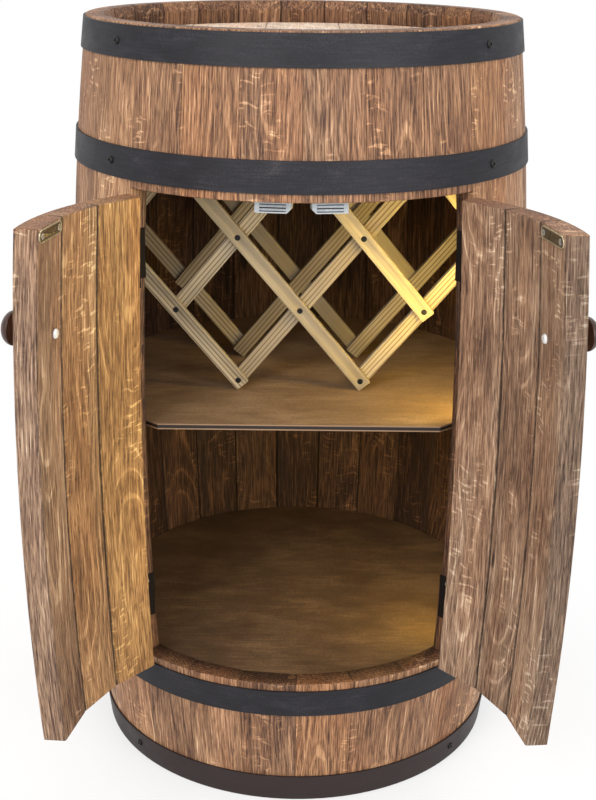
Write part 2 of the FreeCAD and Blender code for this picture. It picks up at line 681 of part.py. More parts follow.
CATCH_FRONT = -(size("strike_thick") + size("catch_gap"))
HALF_CATCH = size("catch_width") / 2
FLANGE_FACE = -size("seat_gap") - size("catch_flange")
catch_body = box("catch_body", "Sizes.catch_depth", "Sizes.catch_width",
                 "Sizes.catch_drop + Sizes.catch_flange",
                 (CATCH_FRONT - size("catch_depth"), -HALF_CATCH, -size("catch_drop")))
catch_flange = box("catch_flange", "Sizes.catch_flange", "Sizes.catch_width", "Sizes.catch_rise",
                   (FLANGE_FACE, -HALF_CATCH, size("door_end_gap") / 2))
catch_solid = fuse("catch_solid", [catch_body, catch_flange])
catch_corner = box("catch_corner", "2 * Sizes.catch_depth", "Sizes.catch_corner", "Sizes.catch_corner",
                   (0, 0, 0))
catch_corner.Placement = Placement(
    Vector(CATCH_FRONT - 1.5 * size("catch_depth"), -HALF_CATCH,
           -size("catch_drop") - size("catch_corner") / math.sqrt(2)),
    Rotation(Vector(1, 0, 0), 45))
magnet = box("magnet", "Sizes.magnet_depth", "Sizes.magnet_width", "Sizes.magnet_height",
             (CATCH_FRONT + size("magnet_stand") - size("magnet_depth"), -size("magnet_width") / 2,
              -size("strike_drop") - size("magnet_height") / 2))
catch_spots = []
for side in (-1, 1):
    spot = Vector(FLANGE_FACE, side * size("catch_screw_spacing") / 2, size("catch_rise") * 0.6)
    catch_spots.append(Placement(spot, FACING_IN))
catch_holes = copies("catch_holes", flat_screw, catch_spots)
housing = cut("housing", catch_solid, group("catch_openings", [catch_corner, magnet, catch_holes]))
both_sides("catch_housings", copies("right_housing", housing, [WALL_TOP]))
both_sides("catch_magnets", copies("right_magnet", magnet, [WALL_TOP]))

jamb_screw_places = [frame.multiply(place) for frame in hinge_frames for place in jamb_leaf_screws]
frame_screw_places = jamb_screw_places + [WALL_TOP.multiply(spot) for spot in catch_spots]
both_sides("frame_flat_screws", copies("right_frame_screws", flat_screw, frame_screw_places))


# ---- the bottle rack: a front and a rear lattice of slats, screwed where they cross ----

SLOPE = math.radians(size("rack_slope"))
ROUNDING = size("slat_corner") * (math.sin(SLOPE) + math.cos(SLOPE) - 1)
FOOT = size("slat_overhang") * math.sin(SLOPE) + size("slat_width") / 2 * math.cos(SLOPE) - ROUNDING
SIDE_TIP = size("slat_overhang") * math.cos(SLOPE) + size("slat_width") / 2 * math.sin(SLOPE) - ROUNDING
FIRST_CROSSING = size("shelf_top") + FOOT
WIDEST_STEPS = 3
WIDEST_ROW = 2


def widest_pitch():
    """The lattice pitch at which the side tips just clear the wall, found by closing in on it."""
    pitch = inner_radius(size("shelf_top")) / (WIDEST_STEPS + 1)
    for _ in range(12):
        tip_top = FIRST_CROSSING + WIDEST_ROW * pitch * math.tan(SLOPE) + FOOT
        half_width = math.sqrt(inner_radius(tip_top) ** 2 - size("rack_half_depth") ** 2)
        pitch = (half_width - size("rack_wall_gap") - SIDE_TIP) / WIDEST_STEPS
    return pitch


PITCH_ACROSS = widest_pitch()
PITCH_UP = PITCH_ACROSS * math.tan(SLOPE)

# Each slat by its lowest crossing (steps across, steps up) and how many pitches it spans.
RISING_STEPS = [((-3, 2), 1), ((-2, 1), 2), ((-1, 0), 3), ((1, 0), 2)]
FALLING_STEPS = [((3, 2), 1), ((2, 1), 2), ((1, 0), 3), ((-1, 0), 2)]

slat_blanks = {}
for span in (1, 2, 3):
    run = span * PITCH_ACROSS / math.cos(SLOPE)
    strip = box(f"slat_strip_{span}", f"{run} + 2 * Sizes.slat_overhang",
                "Sizes.slat_width", "Sizes.slat_thick",
                (-size("slat_overhang"), -size("slat_width") / 2, 0))
    slat = doc.addObject("Part::Fillet", f"slat_{span}")
    slat.Base = strip
    corner = size("slat_corner")
    slat.Edges = [(edge, corner, corner) for edge in (1, 3, 5, 7)]
    slat_blanks[span] = slat


def crossing(across, up, depth):
    """The place of one crossing of the lattice."""
    return Vector(across * PITCH_ACROSS, depth, FIRST_CROSSING + up * PITCH_UP)


def slat_layer(name, slats, lean_side, back):
    """The slats of one layer, with their backs at a depth and their faces to the front."""
    along = Vector(lean_side * math.cos(SLOPE), 0, math.sin(SLOPE))
    facing = Vector(0, -1, 0)
    turn = Rotation(along, facing.cross(along), facing, "XYZ")
    placed = []
    for (across, up), span in slats:
        placed.append((slat_blanks[span], Placement(crossing(across, up, back), turn)))
    return assembled(name, placed)


crossings = set()
for (across, up), span in RISING_STEPS:
    crossings.update((across + step, up + step) for step in range(span + 1))
rack_faces = [(-size("rack_half_depth"), FACING_FRONT), (size("rack_half_depth"), FACING_BACK)]
rack_screw_places = []
for depth, facing in rack_faces:
    for across, up in sorted(crossings):
        rack_screw_places.append(Placement(crossing(across, up, depth), facing))
rack_screws = node("rack_screws", copies("rack_flat_screws", flat_screw, rack_screw_places))

THICK = size("slat_thick")
REACH = size("rack_half_depth")
for name, slats, lean_side, back in (
    ("rack_front_falling_slats", FALLING_STEPS, -1, -REACH + THICK),
    ("rack_front_rising_slats", RISING_STEPS, 1, -REACH + 2 * THICK),
    ("rack_rear_falling_slats", FALLING_STEPS, -1, REACH),
    ("rack_rear_rising_slats", RISING_STEPS, 1, REACH - THICK),
):
    layer = slat_layer(f"{name}_layer", slats, lean_side, back)
    node(name, cut(f"{name}_drilled", layer, rack_screws))


# ---- light strip on the inside of the right jamb, above and below the shelf ----

strip_bar = wall_prism("strip_bar", "Sizes.stave_thick + Sizes.strip_thick", "Sizes.strip_width")
strip_band = cut("strip_band", strip_bar, flat_inside)
strip_lengths = []
for number, (low, high) in enumerate(((FLOOR_TOP, SHELF_BOTTOM), (size("shelf_top"), OPENING_TOP))):
    tall = f"{high - low} - 2 * Sizes.strip_margin"
    window = box(f"strip_window_{number}", str(WIDE), "2 * Sizes.strip_width", tall,
                 (0, -size("strip_width"), low + size("strip_margin")))
    strip_lengths.append(common(f"strip_length_{number}", strip_band, window))
light_strip = group("strips", strip_lengths)
light_strip.Placement = turned_to(HALF_OPENING + STAVE_ANGLE / 2)
node("light_strip", light_strip)


# ---- check and write ----

doc.recompute()
for thing in doc.Objects:
    if "Invalid" in thing.State or "Error" in thing.State:
        raise SystemExit(f"{thing.Name} failed: {thing.State}")
os.makedirs("parts", exist_ok=True)
for name, thing in nodes.items():
    shape = thing.Shape
    if shape.isNull() or not shape.isValid() or not shape.Solids:
        raise SystemExit(f"{name} has no valid solid")
    shape.exportStep(f"parts/{name}.step")
print(f"{len(nodes)} sub-parts, {sum(len(thing.Shape.Solids) for thing in nodes.values())} solids")
print(f"right hinge axis at {PIN_AXIS.x:.3f}, {PIN_AXIS.y:.3f}")
print(f"rack pitch {PITCH_ACROSS:.2f} across, {PITCH_UP:.2f} up, from {FIRST_CROSSING:.2f}")
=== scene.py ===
import math

import bmesh
import bpy
import numpy
from mathutils import Matrix, Vector, noise


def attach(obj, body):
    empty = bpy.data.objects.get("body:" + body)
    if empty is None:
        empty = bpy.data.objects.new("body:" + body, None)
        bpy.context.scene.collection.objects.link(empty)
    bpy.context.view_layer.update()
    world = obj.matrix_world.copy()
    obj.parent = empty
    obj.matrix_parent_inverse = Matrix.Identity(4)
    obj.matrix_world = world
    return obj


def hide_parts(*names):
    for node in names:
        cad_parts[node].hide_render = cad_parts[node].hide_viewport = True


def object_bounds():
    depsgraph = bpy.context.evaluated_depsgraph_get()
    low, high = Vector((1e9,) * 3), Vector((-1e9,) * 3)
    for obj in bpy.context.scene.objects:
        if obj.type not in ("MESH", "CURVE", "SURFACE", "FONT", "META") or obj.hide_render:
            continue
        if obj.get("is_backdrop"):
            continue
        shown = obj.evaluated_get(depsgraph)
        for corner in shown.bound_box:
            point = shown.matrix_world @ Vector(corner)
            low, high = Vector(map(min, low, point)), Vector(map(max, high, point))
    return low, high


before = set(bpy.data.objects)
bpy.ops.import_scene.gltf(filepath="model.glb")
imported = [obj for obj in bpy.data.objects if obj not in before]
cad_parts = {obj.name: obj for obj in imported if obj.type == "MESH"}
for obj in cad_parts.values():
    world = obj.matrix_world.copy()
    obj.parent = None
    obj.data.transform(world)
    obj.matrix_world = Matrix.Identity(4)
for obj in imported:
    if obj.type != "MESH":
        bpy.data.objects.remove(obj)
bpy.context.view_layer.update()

MM = 0.001

# ---- the barrel's sizes, as in the model: lengths in metres, bearings and steps in degrees ----

HEIGHT = 800 * MM
MIDDLE = HEIGHT / 2
END_RADIUS = 222 * MM
BULGE = 25 * MM
BOW = (MIDDLE ** 2 + BULGE ** 2) / (2 * BULGE)
THICK = 23 * MM
STAVE_STEP = 14.4
HALF_STAVE = math.radians(STAVE_STEP / 2)
SEAM_BEARING = 43.2
OPEN_ANGLE = 95
OPENING_LOW = 150 * MM
OPENING_HIGH = 650 * MM
HEAD_TOP = 776 * MM
CROZE_LOW = HEAD_TOP - 12 * MM
CROZE_HIGH = CROZE_LOW + 6 * MM
DOOR_LOW = 152 * MM
DOOR_HIGH = 648 * MM
SEAM = 1 * MM


def outer_radius(height):
    """The barrel's outer radius at a height."""
    return END_RADIUS + BULGE - BOW + math.sqrt(BOW ** 2 - (height - MIDDLE) ** 2)


def inner_radius(height):
    """The distance from the axis to a stave's flat inner face."""
    return outer_radius(height) - THICK


def lean(height):
    """How far the wall leans inwards at a height."""
    return math.asin((height - MIDDLE) / BOW)


PIN_CIRCLE = END_RADIUS + BULGE + 0.8 * MM
LEAF_SPANS = [(190 * MM, 240 * MM), (560 * MM, 610 * MM)]
LEAF_INNER = inner_radius(LEAF_SPANS[-1][1]) + 4 * MM
LEAF_RECESS = 1.2 * MM
CROZE_RADIUS = inner_radius((CROZE_LOW + CROZE_HIGH) / 2) + 4 * MM
CHIME_LOW = HEIGHT - 10 * MM
CHIME_RADII = (inner_radius(CHIME_LOW), inner_radius(HEIGHT) + 5 * MM)


def turned_to(bearing):
    """The turn that takes +X to a bearing from the front, in degrees."""
    return Matrix.Rotation(math.radians(bearing - 90), 4, "Z")


def on_wall(bearing, height, radius):
    """A frame on the wall: X outwards, Y round the barrel, Z up the stave."""
    return (turned_to(bearing) @ Matrix.Translation((radius, 0, height))
            @ Matrix.Rotation(-lean(height), 4, "Y"))


PIN_PLACE = turned_to(SEAM_BEARING) @ Vector((PIN_CIRCLE, -SEAM / 2, 0))
SWING = (Matrix.Translation(PIN_PLACE) @ Matrix.Rotation(math.radians(OPEN_ANGLE), 4, "Z")
         @ Matrix.Translation(-PIN_PLACE))
LEFTWARDS = Matrix.Scale(-1, 4, (1, 0, 0))


# ---- meshes and objects ----

MERGING = 0.002 * MM


def as_mesh(form, name):
    """A mesh of a finished form."""
    mesh = bpy.data.meshes.new(name)
    form.to_mesh(mesh)
    form.free()
    return mesh


def simple(name, operator, **sizes):
    """A mesh of one plain solid."""
    form = bmesh.new()
    operator(form, **sizes)
    return as_mesh(form, name)


def put(name, data):
    """A new object in the scene."""
    thing = bpy.data.objects.new(name, data)
    bpy.context.scene.collection.objects.link(thing)
    return thing


def applied(thing):
    """The object's mesh with its modifiers applied."""
    return bpy.data.meshes.new_from_object(thing.evaluated_get(bpy.context.evaluated_depsgraph_get()))


def put_in_order(mesh):
    """Sort a mesh's faces by their middles, because a cut leaves them in any order."""
    form = bmesh.new()
    form.from_mesh(mesh)
    middles = {face: [round(part / MM, 4) for part in face.calc_center_median()] for face in form.faces}
    for number, face in enumerate(sorted(form.faces, key=middles.get)):
        face.index = number
    form.faces.sort()
    form.to_mesh(mesh)
    form.free()


def carved(mesh, cutters):
    """A mesh with each of the cutters' volumes taken away."""
    body = put("blank", mesh)
    tools = [put("cutter", cutter) for cutter in cutters]
    for tool in tools:
        taking = body.modifiers.new("taking", "BOOLEAN")
        taking.object = tool
        taking.solver = "EXACT"
    result = applied(body)
    put_in_order(result)
    for thing in [body, *tools]:
        bpy.data.objects.remove(thing)
    return result


def soften(mesh, degrees=35):
    """Smooth shading, sharp across corners."""
    mesh.shade_smooth()
    mesh.set_sharp_from_angle(angle=math.radians(degrees))


def placed(mesh, matrix):
    """A mesh moved to its place, with its faces outwards again if it was mirrored."""
    mesh.transform(matrix)
    if matrix.determinant() < 0:
        mesh.flip_normals()
    return mesh


def joined(meshes):
    """Several meshes as one, with their attributes."""
    things = [put("length", mesh) for mesh in meshes]
    with bpy.context.temp_override(active_object=things[0], selected_editable_objects=things):
        bpy.ops.object.join()
    mesh = things[0].data
    bpy.data.objects.remove(things[0])
    return mesh


def piece(name, mesh, material, body, stands_for):
    """A finished piece: its mesh in place, its finish, the body it rides on and what it stands for."""
    thing = put(name, mesh)
    mesh.name = name
    mesh.materials.clear()
    mesh.materials.append(material)
    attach(thing, body)
    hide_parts(*stands_for)


# ---- trees of nodes ----

class Wire:
    """A node's output that Python's operators work on."""

    def __init__(self, tree, socket):
        self.tree = tree
        self.socket = socket

    def __add__(self, other):
        return self.tree.apply("ADD", self, other)

    def __radd__(self, other):
        return self.tree.apply("ADD", other, self)

    def __sub__(self, other):
        return self.tree.apply("SUBTRACT", self, other)

    def __rsub__(self, other):
        return self.tree.apply("SUBTRACT", other, self)

    def __mul__(self, other):
        return self.tree.apply("MULTIPLY", self, other)

    def __rmul__(self, other):
        return self.tree.apply("MULTIPLY", other, self)

    def __truediv__(self, other):
        return self.tree.apply("DIVIDE", self, other)

    def __pow__(self, other):
        return self.tree.apply("POWER", self, other)


class Tree:
    """A node tree with one way to add any node."""

    def __init__(self, nodes):
        self.nodes = nodes.nodes
        self.links = nodes.links

    def node(self, kind, settings=None, values=None, output=0):
        """A new node: its settings first, then the values or wires of its inputs."""
        made = self.nodes.new(kind)
        for key, value in (settings or {}).items():
            if key == "stops":
                self._stops(made.color_ramp, value)
            else:
                setattr(made, key, value)
        for key, value in (values or {}).items():
            self.feed(made.inputs[key], value)
        return Wire(self, made.outputs[output])

    def apply(self, operation, *values):
        """A Math node on one value or two."""
        return self.node("ShaderNodeMath", {"operation": operation}, dict(enumerate(values)))

    def feed(self, socket, value):
        """Give an input its value or its wire."""
        if isinstance(value, Wire):
            self.links.new(value.socket, socket)
        else:
            socket.default_value = value

    @staticmethod
    def _stops(ramp, stops):
        while len(ramp.elements) < len(stops):
            ramp.elements.new(1)
        for element, (place, colour) in zip(ramp.elements, stops):
            element.position = place
            element.color = colour


def tone(hex_code):
    """A written colour as linear light."""
    channels = [int(hex_code[i:i + 2], 16) / 255 for i in (0, 2, 4)]
    linear = [c / 12.92 if c <= 0.04045 else ((c + 0.055) / 1.055) ** 2.4 for c in channels]
    return (*linear, 1)


class Pattern(Tree):
    """A shader's tree, with the few patterns that the finishes share."""

    def place(self):
        """Where a point of the piece is, along X, Y and Z."""
        where = self.node("ShaderNodeTexCoord", output="Object")
        return self.split(where)

    def split(self, vector):
        """The three numbers of a vector."""
        first = self.node("ShaderNodeSeparateXYZ", None, {0: vector})
        parts = first.socket.node.outputs
        return [Wire(self, parts[i]) for i in range(3)]

    def join(self, x, y, z):
        """A vector of three numbers."""
        return self.node("ShaderNodeCombineXYZ", None, {0: x, 1: y, 2: z})

    def grainy(self, vector, detail=2.0, roughness=0.5, seed=0.0):
        """Soft noise from 0 to 1, one cell to a unit of the vector."""
        return self.node("ShaderNodeTexNoise", {"noise_dimensions": "4D"},
                         {"Vector": vector, "W": seed, "Scale": 1.0, "Detail": detail,
                          "Roughness": roughness})

    def mottle(self, spot, scale, detail, roughness=0.6):
        """Noise with cells of one size in every direction."""
        return self.grainy(self.join(*(part * scale for part in spot)), detail, roughness)

    def ease(self, value, low, high, start=0.0, end=1.0):
        """Smoothly from start to end while the value goes from low to high."""
        return self.node("ShaderNodeMapRange", {"interpolation_type": "SMOOTHSTEP"},
                         {0: value, 1: low, 2: high, 3: start, 4: end})

    def ramp(self, value, stops):
        """A colour for each value from 0 to 1."""
        return self.node("ShaderNodeValToRGB", {"stops": stops}, {0: value})

    def blend(self, share, first, second, how="MIX"):
        """Two colours mixed."""
        return self.node("ShaderNodeMix", {"data_type": "RGBA", "blend_type": how},
                         {0: share, 6: first, 7: second}, output=2)


class Finish(Pattern):
    """A material round one Principled shader."""

    def __init__(self, name, roughness=0.5, metallic=0.0, specular=0.5):
        self.material = bpy.data.materials.new(name)
        self.material.use_nodes = True
        super().__init__(self.material.node_tree)
        self.shader = self.nodes["Principled BSDF"]
        self.shader.inputs["Roughness"].default_value = roughness
        self.shader.inputs["Metallic"].default_value = metallic
        self.shader.inputs["Specular IOR Level"].default_value = specular

    def paint(self, **inputs):
        """Feed the shader's inputs, named with underscores for spaces."""
        for name, value in inputs.items():
            self.feed(self.shader.inputs[name.replace("_", " ")], value)

    def bump(self, height, depth, strength):
        """A bumped normal from a height of 0 to 1 and its depth in metres."""
        normal = self.node("ShaderNodeBump", None,
                           {"Strength": strength, "Distance": depth, "Height": height})
        self.feed(self.shader.inputs["Normal"], normal)


# ---- wood ----

OAK = [(0.0, tone("2c1d15")), (0.22, tone("54392a")), (0.5, tone("8c674b")),
       (0.76, tone("bb926f")), (1.0, tone("e6c7a2"))]
HEAD_OAK = [(0.0, tone("816a59")), (0.3, tone("9c8774")), (0.55, tone("b19b88")), (0.75, tone("c3ae9a")),
            (1.0, tone("d8c7b3"))]
# Dark tone for soot in seams, also mixed in as painted shade inside the barrel and in open gaps.
SOOT_AND_SHADE = tone("1a110b")
ROSY = (1.0, 0.82, 0.70, 1)
HONEY = (1.0, 0.83, 0.45)
GREYISH = (0.80, 0.90, 1.0)
DOOR_INSIDE = (0.98, 1.15, 1.39)
RING_PITCH = 3.4 * MM


class Board:
    """The markings of a plain-sawn oak board, each from 0 to 1, laid out by its own grain."""

    def __init__(self, finish, across, along, depth, seed):
        self.finish = finish
        self.spot = (across, along, depth)
        self.seed = seed
        wander = self.cloud(15, 4, 14, 2, 9)
        self.knot = finish.node("ShaderNodeTexVoronoi", {"voronoi_dimensions": "3D"},
                                {"Vector": finish.join(across * 14, along * 3.7, seed * 5), "Scale": 1.0})
        near_knot = finish.ease(self.knot, 0.0, 0.28, 1.0, 0.0)
        self.bent = across + (wander - 0.5) * 0.014 + near_knot * 0.005
        swell = self.cloud(3, 3.6, 3, 1, 21)
        heart = finish.apply("SINE", seed * 37.0) * 0.020
        rise = depth + 0.014 + swell * 0.055
        reach = ((self.bent - heart) ** 2.0 + rise ** 2.0) ** 0.5
        jitter = self.cloud(75, 50, 75, 2, 23)
        self.wave = finish.apply("SINE", reach * (2 * math.pi / RING_PITCH) + (jitter - 0.5) * 3.0)

    def cloud(self, across_scale, along_scale, depth_scale, detail, salt):
        """Noise stretched along the grain."""
        across, along, depth = self.spot
        where = self.finish.join(across * across_scale, along * along_scale, depth * depth_scale)
        return self.finish.grainy(where, detail, 0.55, self.seed * salt + salt)

    def streaks(self, across_scale, along_scale, low, high, salt):
        """Streaks along the grain, bent with it, from dark to pale."""
        _, along, depth = self.spot
        where = self.finish.join(self.bent * across_scale, along * along_scale, depth * across_scale)
        return self.finish.ease(self.finish.grainy(where, 2, 0.6, self.seed * salt + salt), low, high)

    def ridges(self):
        """The narrow pale lines of the growth rings, broken here and there."""
        unbroken = self.finish.ease(self.cloud(30, 9, 30, 2, 27), 0.42, 0.62)
        return self.finish.ease(self.wave, 0.66, 1.0) * unbroken

    def furrows(self):
        """The dark, porous side of the growth rings."""
        return self.finish.ease(self.wave, -0.1, -0.95)

    def rays(self):
        """Pale flecks that lie across the grain, in patches."""
        across, along, depth = self.spot
        bow = along + (self.cloud(40, 12, 20, 1, 29) - 0.5) * 0.020
        where = self.finish.join(across * 74, bow * 300, depth * 54)
        fleck = self.finish.grainy(where, 2, 0.5, self.seed * 7)
        patch = self.finish.ease(self.cloud(26, 9, 20, 1, 11), 0.50, 0.62)
        return self.finish.ease(fleck, 0.565, 0.64) * patch


def stained(warmth, ground=(1, 1, 1)):
    """A tint for the oak, from greyish at -1 to honey at 1."""
    stain = HONEY if warmth > 0 else GREYISH
    return tuple(g * (1 + (s - 1) * abs(warmth)) for g, s in zip(ground, stain))


def oak(finish, across, along, depth, seed, lightness, stops, soot_and_shade, tint=None):
    """Stained oak, brushed so that its ridges show paler than its pores, with soot in its seams and painted
    shade where the caller asks for it.
    """
    board = Board(finish, across, along, depth, seed)
    fine = board.streaks(1150, 46, 0.30, 0.70, 3)
    medium = board.streaks(560, 24, 0.34, 0.66, 31)
    coarse = board.streaks(360, 16, 0.34, 0.66, 5)
    pores = board.streaks(900, 90, 0.56, 0.66, 19)
    ridges, furrows, rays = board.ridges(), board.furrows(), board.rays()
    blotch = board.cloud(15, 7, 15, 4, 13)
    knots = finish.ease(board.knot, 0.026, 0.064, 1.0, 0.0)
    level = (0.50 + lightness + (blotch - 0.5) * 0.62
             + (fine - 0.5) * 0.36 + (medium - 0.5) * 0.19 + (coarse - 0.5) * 0.10
             + ridges * 0.20 - furrows * 0.05 - pores * 0.18 + rays * 0.27 - knots * 0.50)
    colour = finish.ramp(level, stops)
    rosy = finish.ease(board.cloud(24, 3, 20, 2, 17), 0.42, 0.66)
    colour = finish.blend(rosy * 0.55, colour, ROSY, "MULTIPLY")
    if tint is not None:
        colour = finish.blend(1.0, colour, tint, "MULTIPLY")
    colour = finish.blend(soot_and_shade, colour, SOOT_AND_SHADE)
    finish.paint(Base_Color=colour, Roughness=finish.ease(fine, 0.0, 1.0, 0.66, 0.50))
    relief = fine * 0.35 + medium * 0.3 + coarse * 0.2 + ridges * 0.45 - pores * 0.5 + rays * 0.35
    finish.bump(relief, 0.5 * MM, 0.9)


def shell_oak():
    """Oak for the staves, laid out by each stave's own grain."""
    finish = Finish("stave_oak", specular=0.3)
    grain, plank, marks, tint, flank = [
        finish.node("ShaderNodeAttribute", {"attribute_name": name}, output=socket)
        for name, socket in (("grain", "Vector"), ("plank", "Vector"), ("marks", "Vector"),
                             ("tint", "Color"), ("flank", "Fac"))]
    across, along, depth = finish.split(grain)
    seed, lightness, painted_inside_shade = finish.split(plank)
    edge, cut_end, open_gap_shade = finish.split(marks)
    jagged = finish.grainy(finish.join(across * 30, along * 95, 0.0), 3, 0.6, seed)
    # Seams on the inner faces are widened and darkened as painted shade of an open gap, over the dark joint.
    seam_width = open_gap_shade * 2.1 + 0.55
    seam = finish.ease((edge - 0.15) / seam_width + (jagged - 0.5) * 1.3, 0.0, 1.0, 1.0, 0.0) * (1.0 - flank)
    # The stave is darkened inside the barrel as painted shade, along with the soot of its seams and the
    # painted shade of open gaps.
    oak(finish, across, along, depth, seed, lightness - cut_end * 0.10 - painted_inside_shade * 0.26, OAK,
        seam * (open_gap_shade * 0.42 + 0.48) + painted_inside_shade * 0.46, tint)
    return finish.material


# ---- staves ----

SECTION_STEP = 13 * MM
POCKET_REACH = 60 * MM
BORE_REACH = 120 * MM


def lerp(low, high, share):
    """The number that lies a share of the way from low to high."""
    return low + (high - low) * share


def inner_face(height, across, flat):
    """How far a point of the inner face lies from the axis, with the groove and the bevel cut in."""
    from_end = height if height < MIDDLE else HEIGHT - height
    mirrored = HEIGHT - from_end
    reach = flat
    if CROZE_LOW <= mirrored <= CROZE_HIGH:
        reach = max(reach, math.sqrt(CROZE_RADIUS ** 2 - across ** 2))
    if mirrored > CHIME_LOW:
        cone = lerp(*CHIME_RADII, (mirrored - CHIME_LOW) / (HEIGHT - CHIME_LOW))
        reach = max(reach, math.sqrt(cone ** 2 - across ** 2))
    return reach


def stave_section(height, inset, seams, seed):
    """The stave's outline at a height, round outside and flat inside, with its worn arrises."""
    outside = outer_radius(height) - inset
    flat = inner_radius(height) + inset
    wear = 0.5 + 0.5 * noise.noise(Vector((height * 45, seed * 7.1, 0)))
    rough = 0.5 + 0.5 * noise.noise(Vector((height * 90, seed * 3.3, 5)))
    outer_arris = (0.5 + 0.6 * wear) * MM
    inner_arris = (0.5 + 1.0 * rough) * MM
    sides = []
    for side, seam in zip((-1, 1), seams):
        spare = seam + inset
        corner = side * (HALF_STAVE - math.asin(spare / outside))

        def along_side(reach, side=side, spare=spare):
            """How far across the stave its flank lies, at a reach from the barrel's axis."""
            return side * (reach * math.tan(HALF_STAVE) - spare / math.cos(HALF_STAVE))

        sides.append((corner, along_side))
    low_corner, low_side = sides[0]
    high_corner, high_side = sides[1]
    turn = outer_arris / outside
    low_reach = inner_face(height, low_side(flat), flat)
    high_reach = inner_face(height, high_side(flat), flat)
    above_low = low_reach + inner_arris
    above_high = high_reach + inner_arris
    below_low = (outside - outer_arris) * math.cos(low_corner)
    below_high = (outside - outer_arris) * math.cos(high_corner)
    points = [(above_low, low_side(above_low)), (below_low, low_side(below_low))]
    arc = [low_corner + turn * 0.25]
    arc += [lerp(low_corner + turn, high_corner - turn, i / 10) for i in range(11)]
    arc += [high_corner - turn * 0.25]
    for number, angle in enumerate(arc):
        at_edge = number in (0, len(arc) - 1)
        dip = 0.18 * MM * (0.5 + 0.5 * noise.noise(Vector((height * 9, angle * 30, seed))))
        reach = outside - (0.3 * outer_arris if at_edge else 0) - dip
        points.append((reach * math.cos(angle), reach * math.sin(angle)))
    points.append((below_high, high_side(below_high)))
    points.append((above_high, high_side(above_high)))
    from_y = high_side(high_reach) - inner_arris
    to_y = low_side(low_reach) + inner_arris
    for i in range(5):
        across = lerp(from_y, to_y, i / 4)
        points.append((inner_face(height, across, flat), across))
    return points


def stave_levels(low, high):
    """The heights of a stave's sections, closer at its ends and grooves, with how far each is drawn in."""
    arris = 0.7 * MM
    heights = {low + arris, high - arris}
    count = max(2, round((high - low) / SECTION_STEP))
    heights.update(lerp(low, high, i / count) for i in range(1, count))
    for edge in (CROZE_LOW, CROZE_HIGH, CHIME_LOW):
        for step in (-0.05 * MM, 0.05 * MM):
            heights.update((edge + step, HEIGHT - edge + step))
    inner = sorted(h for h in heights if low + arris <= h <= high - arris)
    return [(low, arris)] + [(h, 0) for h in inner] + [(high, arris)]


def stave_form(low, high, seams, seed):
    """A closed stave on the +X side, from one height to another."""
    form = bmesh.new()
    loops = []
    for height, inset in stave_levels(low, high):
        loops.append([form.verts.new((x, y, height)) for x, y in stave_section(height, inset, seams, seed)])
    for below, above in zip(loops, loops[1:]):
        for i in range(len(below)):
            j = (i + 1) % len(below)
            form.faces.new((below[i], below[j], above[j], above[i]))
    form.faces.new(loops[0][::-1])
    form.faces.new(loops[-1])
    return as_mesh(form, "stave")


def pocket(turn, bottom, top, low, high):
    """A cutter for a hinge leaf's recess in the plane of a seam, from one height to another."""
    mesh = simple("pocket", bmesh.ops.create_cube, size=1)
    size = Vector((POCKET_REACH, top - bottom, high - low))
    middle = Vector((LEAF_INNER + POCKET_REACH / 2, (bottom + top) / 2, (low + high) / 2))
    mesh.transform(Matrix.Rotation(turn, 4, "Z") @ Matrix.Translation(middle) @ Matrix.Diagonal((*size, 1)))
    return mesh


def bore(place, radius):
    """A cutter for a round hole along a place's X."""
    mesh = simple("bore", bmesh.ops.create_cone, cap_ends=True, segments=32, radius1=radius, radius2=radius,
                  depth=BORE_REACH)
    mesh.transform(place @ Matrix.Rotation(math.radians(90), 4, "Y"))
    return mesh


def lay_grain(mesh, low, high, seed, lightness, tints, wall=True):
    """Store the stave's own grain, its tone and the painted shade of its inside within the barrel, its marks
    (edges, cut ends, and the painted shade of open seams), and the tints of its outside, its sawn edges and
    its inside."""
    for name in ("grain", "plank", "marks"):
        mesh.attributes.new(name, "FLOAT_VECTOR", "POINT")
    mesh.attributes.new("tint", "FLOAT_COLOR", "FACE")
    mesh.attributes.new("flank", "FLOAT", "FACE")
    grain, plank, marks, tint, flank = (mesh.attributes[name].data
                                        for name in ("grain", "plank", "marks", "tint", "flank"))
    for face in mesh.polygons:
        sawn = abs(face.normal.y) > 0.9
        side = 1 if sawn else (2 if face.normal.x < -0.5 else 0)
        flank[face.index].value = 1.0 if sawn else 0.0
        tint[face.index].color = (*tints[side], 1)
    for vertex in mesh.vertices:
        x, y, z = vertex.co
        reach = math.hypot(x, y)
        outside = outer_radius(z)
        slack = HALF_STAVE - abs(math.atan2(y, x))
        edge = min(slack * reach / MM, 30)
        cut_end = 1.0 if min(z - low, high - z) < 0.1 * MM else 0.0
        inner = 1.0 if outside - reach > 10 * MM else 0.0
        # Painted shade inside the barrel: full between the heads, weaker beyond them; inner faces also get
        # the painted shade of open gaps.
        inside_shade_share = 1.0 if HEIGHT - HEAD_TOP < z < HEAD_TOP - 4 * MM else 0.45
        grain[vertex.index].vector = (y, z, outside - x)
        plank[vertex.index].vector = (seed, lightness, inner * inside_shade_share if wall else 0.0)
        marks[vertex.index].vector = (edge, cut_end, inner * 0.3 if wall else inner)


stave_finish = shell_oak()

